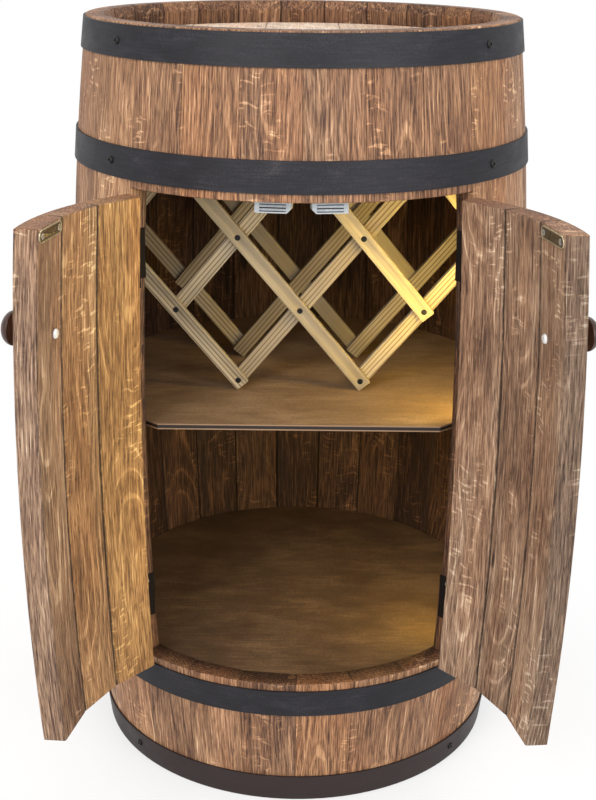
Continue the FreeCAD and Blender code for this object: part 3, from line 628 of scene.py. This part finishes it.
# Seed, lightness and warmth of each full stave, from the right jamb round the back to the left jamb.
FULL_STAVES = [
    (0.31, 0.00, 0.25), (1.47, 0.05, 0.05), (2.12, -0.08, 0.20), (3.80, 0.06, -0.20), (4.35, -0.03, 0.15),
    (5.91, 0.02, 0.25), (6.04, -0.09, 0.00), (7.63, 0.05, 0.10), (8.29, 0.00, -0.15), (9.55, -0.05, 0.20),
    (10.18, 0.07, 0.05), (11.72, -0.02, 0.25), (12.40, 0.03, -0.10), (13.96, -0.08, 0.05),
    (14.51, 0.02, 0.15), (15.23, 0.06, 0.00), (16.87, -0.04, 0.20), (17.34, 0.02, -0.10),
    (18.66, 0.07, 0.05),
]
JAMB_STAVE = SEAM_BEARING + STAVE_STEP / 2
for number, (seed, lightness, warmth) in enumerate(FULL_STAVES, start=1):
    mesh = stave_form(0, HEIGHT, (0, 0), seed)
    if number in (1, len(FULL_STAVES)):
        mesh = carved(mesh, [pocket(-HALF_STAVE, -LEAF_RECESS, LEAF_RECESS, *span) for span in LEAF_SPANS])
    lay_grain(mesh, 0, HEIGHT, seed, lightness, [stained(warmth)] * 3)
    soften(mesh)
    place = turned_to(JAMB_STAVE + STAVE_STEP * (number - 1))
    if number == len(FULL_STAVES):
        place = LEFTWARDS @ turned_to(JAMB_STAVE)
    piece(f"oak_stave_{number:02d}", placed(mesh, place), stave_finish, "carcass",
          [f"stave_{number:02d}"])

# The same for the short lengths above and below the doors, from left to right as seen from the front.
LEFTMOST_LENGTH = STAVE_STEP / 2 - SEAM_BEARING
HEADER_LENGTHS = [(21.3, -0.08, -0.20), (22.8, 0.00, 0.10), (23.1, -0.03, -0.20), (24.6, -0.04, -0.40),
                  (25.2, -0.08, 0.10), (26.9, -0.07, 0.05)]
SILL_LENGTHS = [(31.7, -0.02, -0.05), (32.2, -0.07, -0.15), (33.5, -0.11, -0.20), (34.9, -0.02, 0.20),
                (35.4, -0.05, 0.05), (36.1, 0.00, 0.00)]
for name, lengths, low, high in (("header", HEADER_LENGTHS, OPENING_HIGH, HEIGHT),
                                 ("sill", SILL_LENGTHS, 0, OPENING_LOW)):
    meshes = []
    for step, (seed, lightness, warmth) in enumerate(lengths):
        mesh = stave_form(low, high, (0, 0), seed)
        lay_grain(mesh, low, high, seed, lightness, [stained(warmth)] * 3)
        meshes.append(placed(mesh, turned_to(LEFTMOST_LENGTH + STAVE_STEP * step)))
    mesh = joined(meshes)
    soften(mesh)
    piece(f"oak_{name}_staves", mesh, stave_finish, "carcass", [f"{name}_staves"])

# Door staves from the meeting edge to the hinge: seed, lightness and warmth inside and outside. The warmth
# inside is partly stain and partly painted warm light from the light strip, strongest on the left door's
# hinge-side stave.
DOOR_STAVES = {"right": [(41.2, 0.02, -0.15, 0.0), (42.8, -0.03, -0.10, 0.2), (43.3, 0.01, -0.10, -0.1)],
               "left": [(51.6, -0.02, 0.10, 0.1), (52.1, 0.01, 0.60, -0.1), (53.9, 0.06, 0.95, 0.2)]}
# How much painted shade darkens the sawn flanks of each door's staves, much more on the right door.
PAINTED_EDGE_SHADES = {"right": 0.46, "left": 0.88}
KNOB_HEIGHT = 547 * MM
KNOB_SHIFT = 14 * MM
KNOB_BORE = 1.95 * MM
KNOB_TURN = math.degrees(math.asin(KNOB_SHIFT / outer_radius(KNOB_HEIGHT)))
KNOB_PLACE = on_wall(90 + KNOB_TURN, KNOB_HEIGHT, outer_radius(KNOB_HEIGHT))
for side, staves in DOOR_STAVES.items():
    shaded_edge_tint = [part * PAINTED_EDGE_SHADES[side] for part in DOOR_INSIDE]
    for number, (seed, lightness, warmth_and_glow_inside, warm_outside) in enumerate(staves, start=1):
        seams = (SEAM if number == 1 else 0, SEAM if number == 3 else 0)
        mesh = stave_form(DOOR_LOW, DOOR_HIGH, seams, seed)
        if number == 1:
            mesh = carved(mesh, [bore(KNOB_PLACE, KNOB_BORE)])
        if number == 3:
            mesh = carved(mesh, [pocket(HALF_STAVE, -SEAM - LEAF_RECESS, LEAF_RECESS - SEAM, *span)
                                 for span in LEAF_SPANS])
        tints = [stained(warm_outside), shaded_edge_tint, stained(warmth_and_glow_inside, DOOR_INSIDE)]
        lay_grain(mesh, DOOR_LOW, DOOR_HIGH, seed, lightness, tints, wall=False)
        soften(mesh)
        place = SWING @ turned_to(STAVE_STEP * number - STAVE_STEP / 2)
        if side == "left":
            place = LEFTWARDS @ place
        piece(f"oak_{side}_door_stave_{number}", placed(mesh, place), stave_finish, f"{side}_door",
              [f"{side}_door_stave_{number}"])


# ---- other woods ----

HEAD_BOARDS = 5
BOARD_FIT = 0.5 * MM
SHELF_MIDDLE = 408 * MM
HALF_SHELF = 3 * MM
RACK_PITCH = (65.76 * MM, 78.36 * MM)
FIRST_CROSSING = 421.66 * MM
SLOPE = math.radians(50)
STRIPE_PITCH = 4.3 * MM


def head_oak():
    """Pale oak boards, their seams and shades told by how far across the head they lie."""
    finish = Finish("head_oak", specular=0.3)
    x, y, z = finish.place()
    width = 2 * (CROZE_RADIUS - BOARD_FIT) / HEAD_BOARDS
    count = (x + width * (HEAD_BOARDS / 2)) / width
    board = finish.apply("FLOOR", count)
    part = count - board
    shade = finish.node("ShaderNodeTexWhiteNoise", {"noise_dimensions": "1D"}, {"W": board + 0.37})
    to_seam = finish.apply("ABSOLUTE", part - 0.5)
    seam = finish.ease(to_seam, 0.488, 0.4985) * 0.8
    oak(finish, x, y, z, board * 1.7 + 61.0, (shade - 0.5) * 0.12 + 0.14, HEAD_OAK, seam)
    return finish.material


def dark_board(name, level, edged=False):
    """A thin dark-stained board, grained along X; its cut edge shows its layers where it has any."""
    finish = Finish(name, specular=0.4)
    x, y, z = finish.place()
    fibres = finish.grainy(finish.join(x * 26, y * 420, z * 420), 3, 0.6)
    blotch = finish.grainy(finish.join(x * 16, y * 30, z * 16), 4, 0.6)
    speck = finish.mottle((x, y, z), 420, 3)
    value = level + (fibres - 0.5) * 0.50 + (blotch - 0.5) * 0.60 + (speck - 0.5) * 0.35
    colour = finish.ramp(value, [(0.0, tone("1f150e")), (0.4, tone("564332")), (0.7, tone("80674e")),
                                 (1.0, tone("ab9072"))])
    if edged:
        facing = finish.node("ShaderNodeNewGeometry", output="Normal")
        flatness = finish.apply("ABSOLUTE", finish.split(facing)[2])
        layer = finish.apply("ABSOLUTE", (z - SHELF_MIDDLE) / HALF_SHELF)
        skins = finish.ease(layer, 0.45, 0.7)
        plies = finish.blend(skins, tone("1f140d"), tone("8b6f55"))
        colour = finish.blend(finish.ease(flatness, 0.3, 0.7, 1.0, 0.0), colour, plies)
    finish.paint(Base_Color=colour, Roughness=finish.ease(fibres, 0.2, 0.8, 0.42, 0.6))
    finish.bump(fibres, 0.15 * MM, 0.5)
    return finish.material


def slat_pine(name, lean_side, striped):
    """Planed pine laid along a slat's slope, each slat with its own stripes of late wood."""
    finish = Finish(name, specular=0.4)
    x, y, z = finish.place()
    along = x * (lean_side * math.cos(SLOPE)) + z * math.sin(SLOPE)
    across = x * (lean_side * math.sin(SLOPE)) - z * math.cos(SLOPE)
    step = x * (lean_side / RACK_PITCH[0]) - (z - FIRST_CROSSING) / RACK_PITCH[1]
    slat = finish.apply("ROUND", step)
    chance = finish.node("ShaderNodeTexWhiteNoise", {"noise_dimensions": "1D"}, {"W": slat + 0.21})
    wander = finish.grainy(finish.join(across * 40, along * 5, y * 30), 2, 0.5, slat)
    bent = across + (wander - 0.5) * 0.006
    wave = finish.apply("SINE", bent * (2 * math.pi / STRIPE_PITCH) + chance * 6.0)
    late = finish.ease(wave, 0.30, 0.95)
    fibres = finish.grainy(finish.join(across * 1100, along * 20, y * 1100), 3, 0.6, slat)
    blotch = finish.grainy(finish.join(across * 20, along * 9, y * 20), 2, 0.5, slat)
    ends = finish.ramp((blotch - 0.5) * 0.9 + (fibres - 0.5) * 0.35 + 0.55 + (chance - 0.5) * 0.16,
                       [(0.0, tone("6b5f49")), (0.5, tone("9c8d72")), (1.0, tone("c4b597"))])
    if striped:
        strength = finish.ease(finish.grainy(finish.join(along * 6, slat, 0.0)), 0.2, 0.7, 0.55, 0.95)
    else:
        strength = finish.ease(slat, 0.0, 1.0, 0.10, 0.8)
    colour = finish.blend(late * strength, ends, tone("5a4029"))
    finish.paint(Base_Color=colour, Roughness=finish.ease(fibres, 0.2, 0.8, 0.48, 0.62))
    finish.bump(fibres * 0.5 - late * 0.4, 0.12 * MM, 0.6)
    return finish.material


def turned_wood():
    """Dark turned wood, lightly polished."""
    finish = Finish("knob_wood", roughness=0.34)
    x, y, z = finish.place()
    fibres = finish.grainy(finish.join(x * 500, y * 500, z * 30), 3, 0.6)
    colour = finish.ramp(fibres, [(0.25, tone("1d0f0a")), (0.6, tone("40251a")), (0.9, tone("5b3828"))])
    finish.paint(Base_Color=colour)
    finish.bump(fibres, 0.08 * MM, 0.5)
    return finish.material


# ---- metals, plastics and light ----

CATCH_MIDDLE = 640.5 * MM
MAGNET_HEIGHT = 7 * MM
LIGHT_STEP = 16.7 * MM


def hoop_paint():
    """Matte dark paint on rolled steel, with faint mill streaks and scuffs."""
    finish = Finish("hoop_paint", specular=0.25)
    x, y, z = finish.place()
    round_it = finish.apply("ARCTAN2", x, y)
    streaks = finish.grainy(finish.join(round_it * 7, z * 420, 0.0), 3, 0.6)
    cloud = finish.grainy(finish.join(x * 26, y * 26, z * 60), 4, 0.6)
    pits = finish.mottle((x, y, z), 800, 2, 0.5)
    level = (streaks - 0.5) * 0.7 + (cloud - 0.5) * 0.9 + (pits - 0.5) * 0.9 + 0.5
    colour = finish.ramp(level, [(0.0, tone("0c0c10")), (0.5, tone("1c1b20")), (1.0, tone("37363b"))])
    rusty = finish.ease(z, 0.02, 0.12, 0.55, 0.0)
    colour = finish.blend(rusty, colour, tone("33241e"))
    scuff = finish.ease(cloud, 0.62, 0.78) * finish.ease(pits, 0.45, 0.6)
    colour = finish.blend(scuff * 0.30, colour, tone("6d645c"))
    finish.paint(Base_Color=colour, Roughness=finish.ease(cloud, 0.3, 0.7, 0.46, 0.62))
    finish.bump(pits * 0.7 + cloud * 0.3, 0.10 * MM, 0.5)
    return finish.material


def metal(name, dark, light, roughness, metallic, specular=0.5):
    """Bare or blackened metal with a mottled surface."""
    finish = Finish(name, metallic=metallic, specular=specular)
    x, y, z = finish.place()
    cloud = finish.mottle((x, y, z), 300, 4)
    finish.paint(Base_Color=finish.ramp(cloud, [(0.3, tone(dark)), (0.7, tone(light))]),
                 Roughness=finish.ease(cloud, 0.3, 0.7, roughness, roughness + 0.18))
    finish.bump(cloud, 0.03 * MM, 0.4)
    return finish.material


def catch_plastic():
    """Pale grey moulded plastic, faintly speckled."""
    finish = Finish("catch_plastic", specular=0.5)
    x, y, z = finish.place()
    speck = finish.mottle((x, y, z), 700, 3)
    finish.paint(Base_Color=finish.ramp(speck, [(0.3, tone("a9b0b4")), (0.7, tone("bfc5c8"))]),
                 Roughness=finish.ease(speck, 0.3, 0.7, 0.34, 0.46))
    finish.bump(speck, 0.03 * MM, 0.5)
    return finish.material


def catch_steel():
    """The catch's two bright steel lips, with the dark magnet between and behind them."""
    finish = Finish("magnet_steel", metallic=0.7)
    x, y, z = finish.place()
    cloud = finish.mottle((x, y, z), 300, 4)
    height = finish.apply("ABSOLUTE", (z - CATCH_MIDDLE) / MAGNET_HEIGHT)
    lips = finish.ease(height, 0.06, 0.12) * finish.ease(height, 0.36, 0.42, 1.0, 0.0)
    steel = finish.ramp(cloud, [(0.3, tone("8b9094")), (0.7, tone("b4b8bb"))])
    finish.paint(Base_Color=finish.blend(lips, tone("26282a"), steel),
                 Roughness=finish.ease(cloud, 0.3, 0.7, 0.32, 0.48))
    return finish.material


def plate_steel():
    """Bronzed steel, with a painted highlight on its narrow rim faces and a painted dark reflection in its
    broad dish.
    """
    finish = Finish("strike_steel", metallic=0.6)
    x, y, z = finish.place()
    cloud = finish.mottle((x, y, z), 300, 4)
    broad = finish.node("ShaderNodeAttribute", {"attribute_name": "broad"}, output="Fac")
    bronze = finish.ramp(cloud, [(0.3, tone("9a8c70")), (0.7, tone("c4b698"))])
    # Broad faces take the painted dark reflection; narrow rim faces stay bright as a painted highlight.
    finish.paint(Base_Color=finish.blend(broad * (cloud + 0.35), bronze, tone("4b3d2c")),
                 Roughness=finish.ease(cloud, 0.3, 0.7, 0.30, 0.46))
    return finish.material


def light_tape():
    """A milky strip with a row of small lights behind it."""
    finish = Finish("light_tape", roughness=0.4)
    x, y, z = finish.place()
    row = finish.apply("SINE", z * (2 * math.pi / LIGHT_STEP))
    milk = finish.grainy(finish.join(x * 200, y * 200, z * 120), 1, 0.5)
    glow = finish.ease(row, -0.6, 0.9) * 0.8 + milk * 0.2
    finish.paint(Base_Color=finish.ramp(glow, [(0.3, tone("e8d9b4")), (0.7, tone("f5ead0"))]),
                 Emission_Color=finish.ramp(glow, [(0.3, tone("ffdb70")), (0.7, tone("ffe284"))]))
    finish.shader.inputs["Emission Strength"].default_value = 75.0
    return finish.material


hoop_finish = hoop_paint()
dark_screw = metal("dark_screws", "191817", "2d2b2a", 0.42, 0.7)
bright_screw = metal("bright_screws", "a8a6a2", "d8d6d2", 0.32, 0.75)
hinge_steel = metal("hinge_steel", "120e0b", "1c1612", 0.65, 0.0, 0.12)
knob_screw_steel = metal("knob_screw_steel", "cfcdca", "f2f1ef", 0.30, 0.35)
strike_steel = plate_steel()
magnet_steel = catch_steel()
plastic = catch_plastic()
rising_pine = slat_pine("rising_pine", 1, True)
falling_pine = slat_pine("falling_pine", -1, False)
NODE_FINISHES = {
    "top_head": head_oak(), "floor_board": dark_board("floor_wood", 0.42),
    "shelf": dark_board("shelf_wood", 0.71, edged=True), "support_blocks": dark_board("block_wood", 0.30),
    "rack_front_rising_slats": rising_pine, "rack_rear_rising_slats": rising_pine,
    "rack_front_falling_slats": falling_pine, "rack_rear_falling_slats": falling_pine,
    "top_hoop": hoop_finish, "upper_hoop": hoop_finish, "lower_hoop": hoop_finish, "bottom_hoop": hoop_finish,
    "hoop_screws": dark_screw, "rack_screws": dark_screw, "frame_flat_screws": bright_screw,
    "jamb_hinge_leaves": hinge_steel, "hinge_pins": hinge_steel,
    "catch_housings": plastic, "catch_magnets": magnet_steel, "light_strip": light_tape(),
}
NODE_FINISHES["bottom_head"] = NODE_FINISHES["top_head"]
knob_finish = turned_wood()
for side in ("right", "left"):
    NODE_FINISHES.update({f"{side}_door_hinge_leaves": hinge_steel, f"{side}_door_flat_screws": bright_screw,
                          f"{side}_knob": knob_finish, f"{side}_knob_screw": knob_screw_steel,
                          f"{side}_strike_plate": strike_steel})
for name, finish in NODE_FINISHES.items():
    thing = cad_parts[name]
    thing.data.materials.clear()
    thing.data.materials.append(finish)


# ---- screws ----

SHANK_RADIUS = 1.75 * MM
SLOT_WIDTH = 0.8 * MM
SLOT_DEPTH = 0.9 * MM
HEXAGON_RADIUS = 1.35 * MM
HEXAGON_DEPTH = 1.1 * MM


def screw_spots(node, proud):
    """The spots of a node's screws, each a point and the way its head faces, and the length behind a spot."""
    form = bmesh.new()
    form.from_mesh(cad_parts[node].data)
    bmesh.ops.remove_doubles(form, verts=form.verts, dist=MERGING)
    form.verts.index_update()
    spots = []
    taken = set()
    for first in form.verts:
        if first.index in taken:
            continue
        taken.add(first.index)
        reached = [first]
        for vertex in reached:
            for edge in vertex.link_edges:
                other = edge.other_vert(vertex)
                if other.index not in taken:
                    taken.add(other.index)
                    reached.append(other)
        points = numpy.array([vertex.co for vertex in reached])
        middle = points.mean(axis=0)
        points -= middle
        facing = numpy.linalg.eigh(numpy.cov(points.T))[1][:, 2]
        along = points @ facing
        wide = numpy.linalg.norm(points - numpy.outer(along, facing), axis=1)
        if along[wide > 0.8 * wide.max()].mean() < 0:
            facing, along = -facing, -along
        spots.append((Vector(middle + facing * (along.max() - proud)), Vector(facing)))
        shank = along.max() - along.min() - proud
    form.free()
    return spots, shank


def cross_slot(length, turn):
    """A cutter for one slot of a cross recess."""
    mesh = simple("slot", bmesh.ops.create_cube, size=1)
    mesh.transform(Matrix.Rotation(math.radians(turn), 4, "Z")
                   @ Matrix.Diagonal((length, SLOT_WIDTH, 2 * SLOT_DEPTH, 1)))
    return mesh


def hexagon():
    """A cutter for a hexagonal recess."""
    return simple("hexagon", bmesh.ops.create_cone, cap_ends=True, segments=6, radius1=HEXAGON_RADIUS,
                  radius2=HEXAGON_RADIUS, depth=2 * HEXAGON_DEPTH)


def screw_form(shank, head, tools):
    """A turned screw along +Z with a pointed shank, a head of the given outline and its recess cut in."""
    form = bmesh.new()
    outline = [(0, -shank), (0.7 * SHANK_RADIUS, -shank + 0.5 * MM), (SHANK_RADIUS, -shank + 2.5 * MM)]
    outline += [(reach * MM, height * MM) for reach, height in head]
    rings = [form.verts.new((reach, 0, height)) for reach, height in outline]
    edges = [form.edges.new(pair) for pair in zip(rings, rings[1:])]
    bmesh.ops.spin(form, geom=rings + edges, axis=(0, 0, 1), angle=2 * math.pi, steps=28)
    bmesh.ops.remove_doubles(form, verts=form.verts, dist=0.001 * MM)
    bmesh.ops.recalc_face_normals(form, faces=form.faces)
    for tool in tools:
        tool.transform(Matrix.Translation((0, 0, outline[-1][1])))
    mesh = carved(as_mesh(form, "screw"), tools)
    soften(mesh, 40)
    return mesh


def driven_tree():
    """Nodes that put a screw on each point, along its facing and twisted by chance."""
    group = bpy.data.node_groups.new("driven_screws", "GeometryNodeTree")
    inputs = {}
    for name, kind in (("Places", "Geometry"), ("Screw", "Object"), ("Twist", "Float"), ("Seed", "Int"),
                       ("Finish", "Material")):
        socket = group.interface.new_socket(name, in_out="INPUT", socket_type=f"NodeSocket{kind}")
        inputs[name] = socket.identifier
    group.interface.new_socket("Screws", in_out="OUTPUT", socket_type="NodeSocketGeometry")
    tree = Tree(group)
    given = tree.node("NodeGroupInput").socket.node.outputs
    source = {name: Wire(tree, given[name]) for name in inputs}
    facing = tree.node("GeometryNodeInputNamedAttribute", {"data_type": "FLOAT_VECTOR"}, {"Name": "facing"})
    upright = tree.node("FunctionNodeAlignRotationToVector", {"axis": "Z"}, {"Vector": facing})
    chance = tree.node("FunctionNodeRandomValue", {"data_type": "FLOAT"},
                       {2: 0.0, 3: source["Twist"], "Seed": source["Seed"]}, output=1)
    twist = tree.node("FunctionNodeAxisAngleToRotation", None, {"Axis": (0, 0, 1), "Angle": chance})
    turned = tree.node("FunctionNodeRotateRotation", {"rotation_space": "LOCAL"},
                       {"Rotation": upright, "Rotate By": twist})
    screw = tree.node("GeometryNodeObjectInfo", None, {"Object": source["Screw"]}, output="Geometry")
    driven = tree.node("GeometryNodeInstanceOnPoints", None,
                       {"Points": source["Places"], "Instance": screw, "Rotation": turned})
    real = tree.node("GeometryNodeRealizeInstances", None, {"Geometry": driven})
    finished = tree.node("GeometryNodeSetMaterial", None, {"Geometry": real, "Material": source["Finish"]})
    tree.feed(tree.nodes.new("NodeGroupOutput").inputs["Screws"], finished)
    return group, inputs


SCREW_TREE, SCREW_INPUTS = driven_tree()


def driven(name, master, spots, finish, body, stands_for, seed):
    """A piece of screws driven at their spots, each twisted by chance."""
    mesh = bpy.data.meshes.new(name)
    mesh.from_pydata([place for place, _ in spots], [], [])
    facing = mesh.attributes.new("facing", "FLOAT_VECTOR", "POINT")
    for slot, (_, way) in zip(facing.data, spots):
        slot.vector = way
    points = put(name, mesh)
    screw = put("screw", master)
    modifier = points.modifiers.new("driven", "NODES")
    modifier.node_group = SCREW_TREE
    for key, value in (("Screw", screw), ("Twist", 2 * math.pi), ("Seed", seed), ("Finish", finish)):
        modifier[SCREW_INPUTS[key]] = value
    result = applied(points)
    for thing in (points, screw):
        bpy.data.objects.remove(thing)
    piece(name, result, finish, body, stands_for)


# Each head's outline from the shank up: radii, and heights above the screw's spot, in millimetres.
PAN_HEAD = [(1.75, 0), (3.6, 0), (3.8, 0.3), (3.75, 0.9), (3.3, 1.5), (2.5, 1.95), (1.5, 2.15), (0, 2.2)]
FLAT_HEAD = [(1.75, -1.2), (3.1, -0.1), (3.1, 0.05), (2.0, 0.2), (0, 0.2)]
KNOB_HEAD = [(1.75, 0), (4.4, 0), (4.6, 0.3), (4.5, 1.1), (4.0, 1.9), (3.0, 2.5), (1.6, 2.75), (0, 2.8)]
# Each screw node, its body, its head, how far its spots lie under the head's top, and its finish.
SCREWS = [("hoop_screws", "carcass", PAN_HEAD, 2.2 * MM, dark_screw),
          ("rack_screws", "carcass", FLAT_HEAD, 0, dark_screw),
          ("frame_flat_screws", "carcass", FLAT_HEAD, 0, bright_screw)]
for side in ("right", "left"):
    SCREWS += [(f"{side}_door_flat_screws", f"{side}_door", FLAT_HEAD, 0, bright_screw),
               (f"{side}_knob_screw", f"{side}_door", KNOB_HEAD, 2.8 * MM, knob_screw_steel)]
for number, (node, body, head, proud, finish) in enumerate(SCREWS):
    spots, shank = screw_spots(node, proud)
    if finish is dark_screw:
        tools = [hexagon()]
    else:
        tools = [cross_slot(1.2 * head[3][0] * MM, turn) for turn in (0, 90)]
    driven(f"{node}_driven", screw_form(shank, head, tools), spots, finish, body, [node], number)


# ---- eased corners ----

BROAD_AREA = 60 * MM ** 2


def eased(node, width, body="carcass"):
    """A copy of a node's shape with its sharp corners eased and its broad faces marked."""
    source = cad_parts[node]
    form = bmesh.new()
    form.from_mesh(source.data)
    bmesh.ops.remove_doubles(form, verts=form.verts, dist=MERGING)
    bmesh.ops.dissolve_limit(form, angle_limit=math.radians(0.5), verts=form.verts, edges=form.edges)
    thing = put(f"{node}_eased", as_mesh(form, f"{node}_eased"))
    bevel = thing.modifiers.new("eased", "BEVEL")
    bevel.width = width
    bevel.segments = 2
    bevel.limit_method = "ANGLE"
    bevel.angle_limit = math.radians(40)
    bevel.use_clamp_overlap = False
    result = applied(thing)
    bpy.data.objects.remove(thing)
    soften(result, 30)
    # The broad-face mark carries the strike plates' painted dark reflection.
    broad = result.attributes.new("broad", "FLOAT", "FACE")
    for face, slot in zip(result.polygons, broad.data):
        slot.value = 1.0 if face.area > BROAD_AREA else 0.0
    piece(f"{node}_eased", result, NODE_FINISHES[node], body, [node])


for node in ("rack_front_rising_slats", "rack_front_falling_slats", "rack_rear_rising_slats",
             "rack_rear_falling_slats", "catch_housings"):
    eased(node, 0.6 * MM)
for side in ("right", "left"):
    eased(f"{side}_strike_plate", 0.25 * MM, f"{side}_door")


# ---- floor, light and camera ----

# The camera's place, its yaw, downward pitch and roll, and its focal length over the picture's height.
CAMERA_PLACE = (-3.62 * MM, -1459.04 * MM, 899.71 * MM)
CAMERA_TURNS = (math.radians(0.11), math.radians(19.74), math.radians(0.64))
FOCAL_SHARE = 1364.9 / 800


def seen_white(tree, plain, white, share):
    """Mix a surface with plain white where the camera, a gloss or a glass looks at it."""
    path = tree.node("ShaderNodeLightPath").socket.node.outputs
    looks = [Wire(tree, path[name]) for name in ("Is Camera Ray", "Is Glossy Ray", "Is Transmission Ray")]
    seen = looks[0] + looks[1] + looks[2]
    return tree.node("ShaderNodeMixShader", None, {0: seen * share, 1: plain, 2: white})


def studio():
    """A pale floor that keeps the shadow, a pale room and three soft lamps."""
    mesh = simple("floor", bmesh.ops.create_grid, x_segments=1, y_segments=1, size=6)
    floor = put("floor", mesh)
    floor.location.z = -0.2 * MM
    material = bpy.data.materials.new("floor_pale")
    material.use_nodes = True
    tree = Pattern(material.node_tree)
    tree.nodes.clear()
    plain = tree.node("ShaderNodeBsdfDiffuse", None, {"Color": (0.86, 0.86, 0.86, 1)})
    white = tree.node("ShaderNodeEmission", None, {"Color": (1, 1, 1, 1), "Strength": 1.0})
    out = tree.nodes.new("ShaderNodeOutputMaterial")
    x, y, _ = tree.place()
    away = (x ** 2.0 + (y + 0.05) ** 2.0) ** 0.5
    tree.feed(out.inputs["Surface"], seen_white(tree, plain, white, tree.ease(away, 0.26, 0.62, 0.62, 1.0)))
    mesh.materials.append(material)
    floor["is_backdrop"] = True

    world = bpy.data.worlds.new("room")
    bpy.context.scene.world = world
    world.use_nodes = True
    tree = Tree(world.node_tree)
    tree.nodes.clear()
    room = tree.node("ShaderNodeBackground", None, {"Color": (1.0, 0.99, 0.98, 1), "Strength": 0.61})
    white = tree.node("ShaderNodeBackground", None, {"Color": (1, 1, 1, 1), "Strength": 1.0})
    out = tree.nodes.new("ShaderNodeOutputWorld")
    tree.feed(out.inputs["Surface"], seen_white(tree, room, white, 1.0))

    for name, place, size, power, colour in (
        ("key", (-1.3, -2.5, 2.1), 1.6, 70, (1.0, 0.98, 0.95)),
        ("fill", (1.7, -2.3, 1.3), 1.8, 46, (0.98, 0.98, 1.0)),
        ("top", (0.2, 0.5, 2.8), 1.6, 34, (1.0, 1.0, 1.0)),
    ):
        lamp = bpy.data.lights.new(name, "AREA")
        lamp.shape = "SQUARE"
        lamp.size = size
        lamp.energy = power
        lamp.color = colour
        thing = put(name, lamp)
        thing.location = place
        thing.rotation_euler = (Vector((0, 0, MIDDLE)) - Vector(place)).to_track_quat("-Z", "Y").to_euler()


def look():
    """The camera, a little above the barrel and looking down on it."""
    yaw, pitch, roll = CAMERA_TURNS
    forward = Vector((math.sin(yaw) * math.cos(pitch), math.cos(yaw) * math.cos(pitch), -math.sin(pitch)))
    right = Vector((math.cos(yaw), -math.sin(yaw), 0))
    up = right.cross(forward)
    across = math.cos(roll) * right + math.sin(roll) * up
    upward = -math.sin(roll) * right + math.cos(roll) * up
    camera = bpy.data.cameras.new("camera")
    camera.sensor_width = 36
    camera.lens = camera.sensor_width * FOCAL_SHARE
    thing = put("camera", camera)
    thing.matrix_world = (Matrix.Translation(CAMERA_PLACE)
                          @ Matrix((across, upward, -forward)).transposed().to_4x4())
    bpy.context.scene.camera = thing


studio()
look()
bpy.context.scene.view_settings.view_transform = "Standard"

low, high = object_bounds()
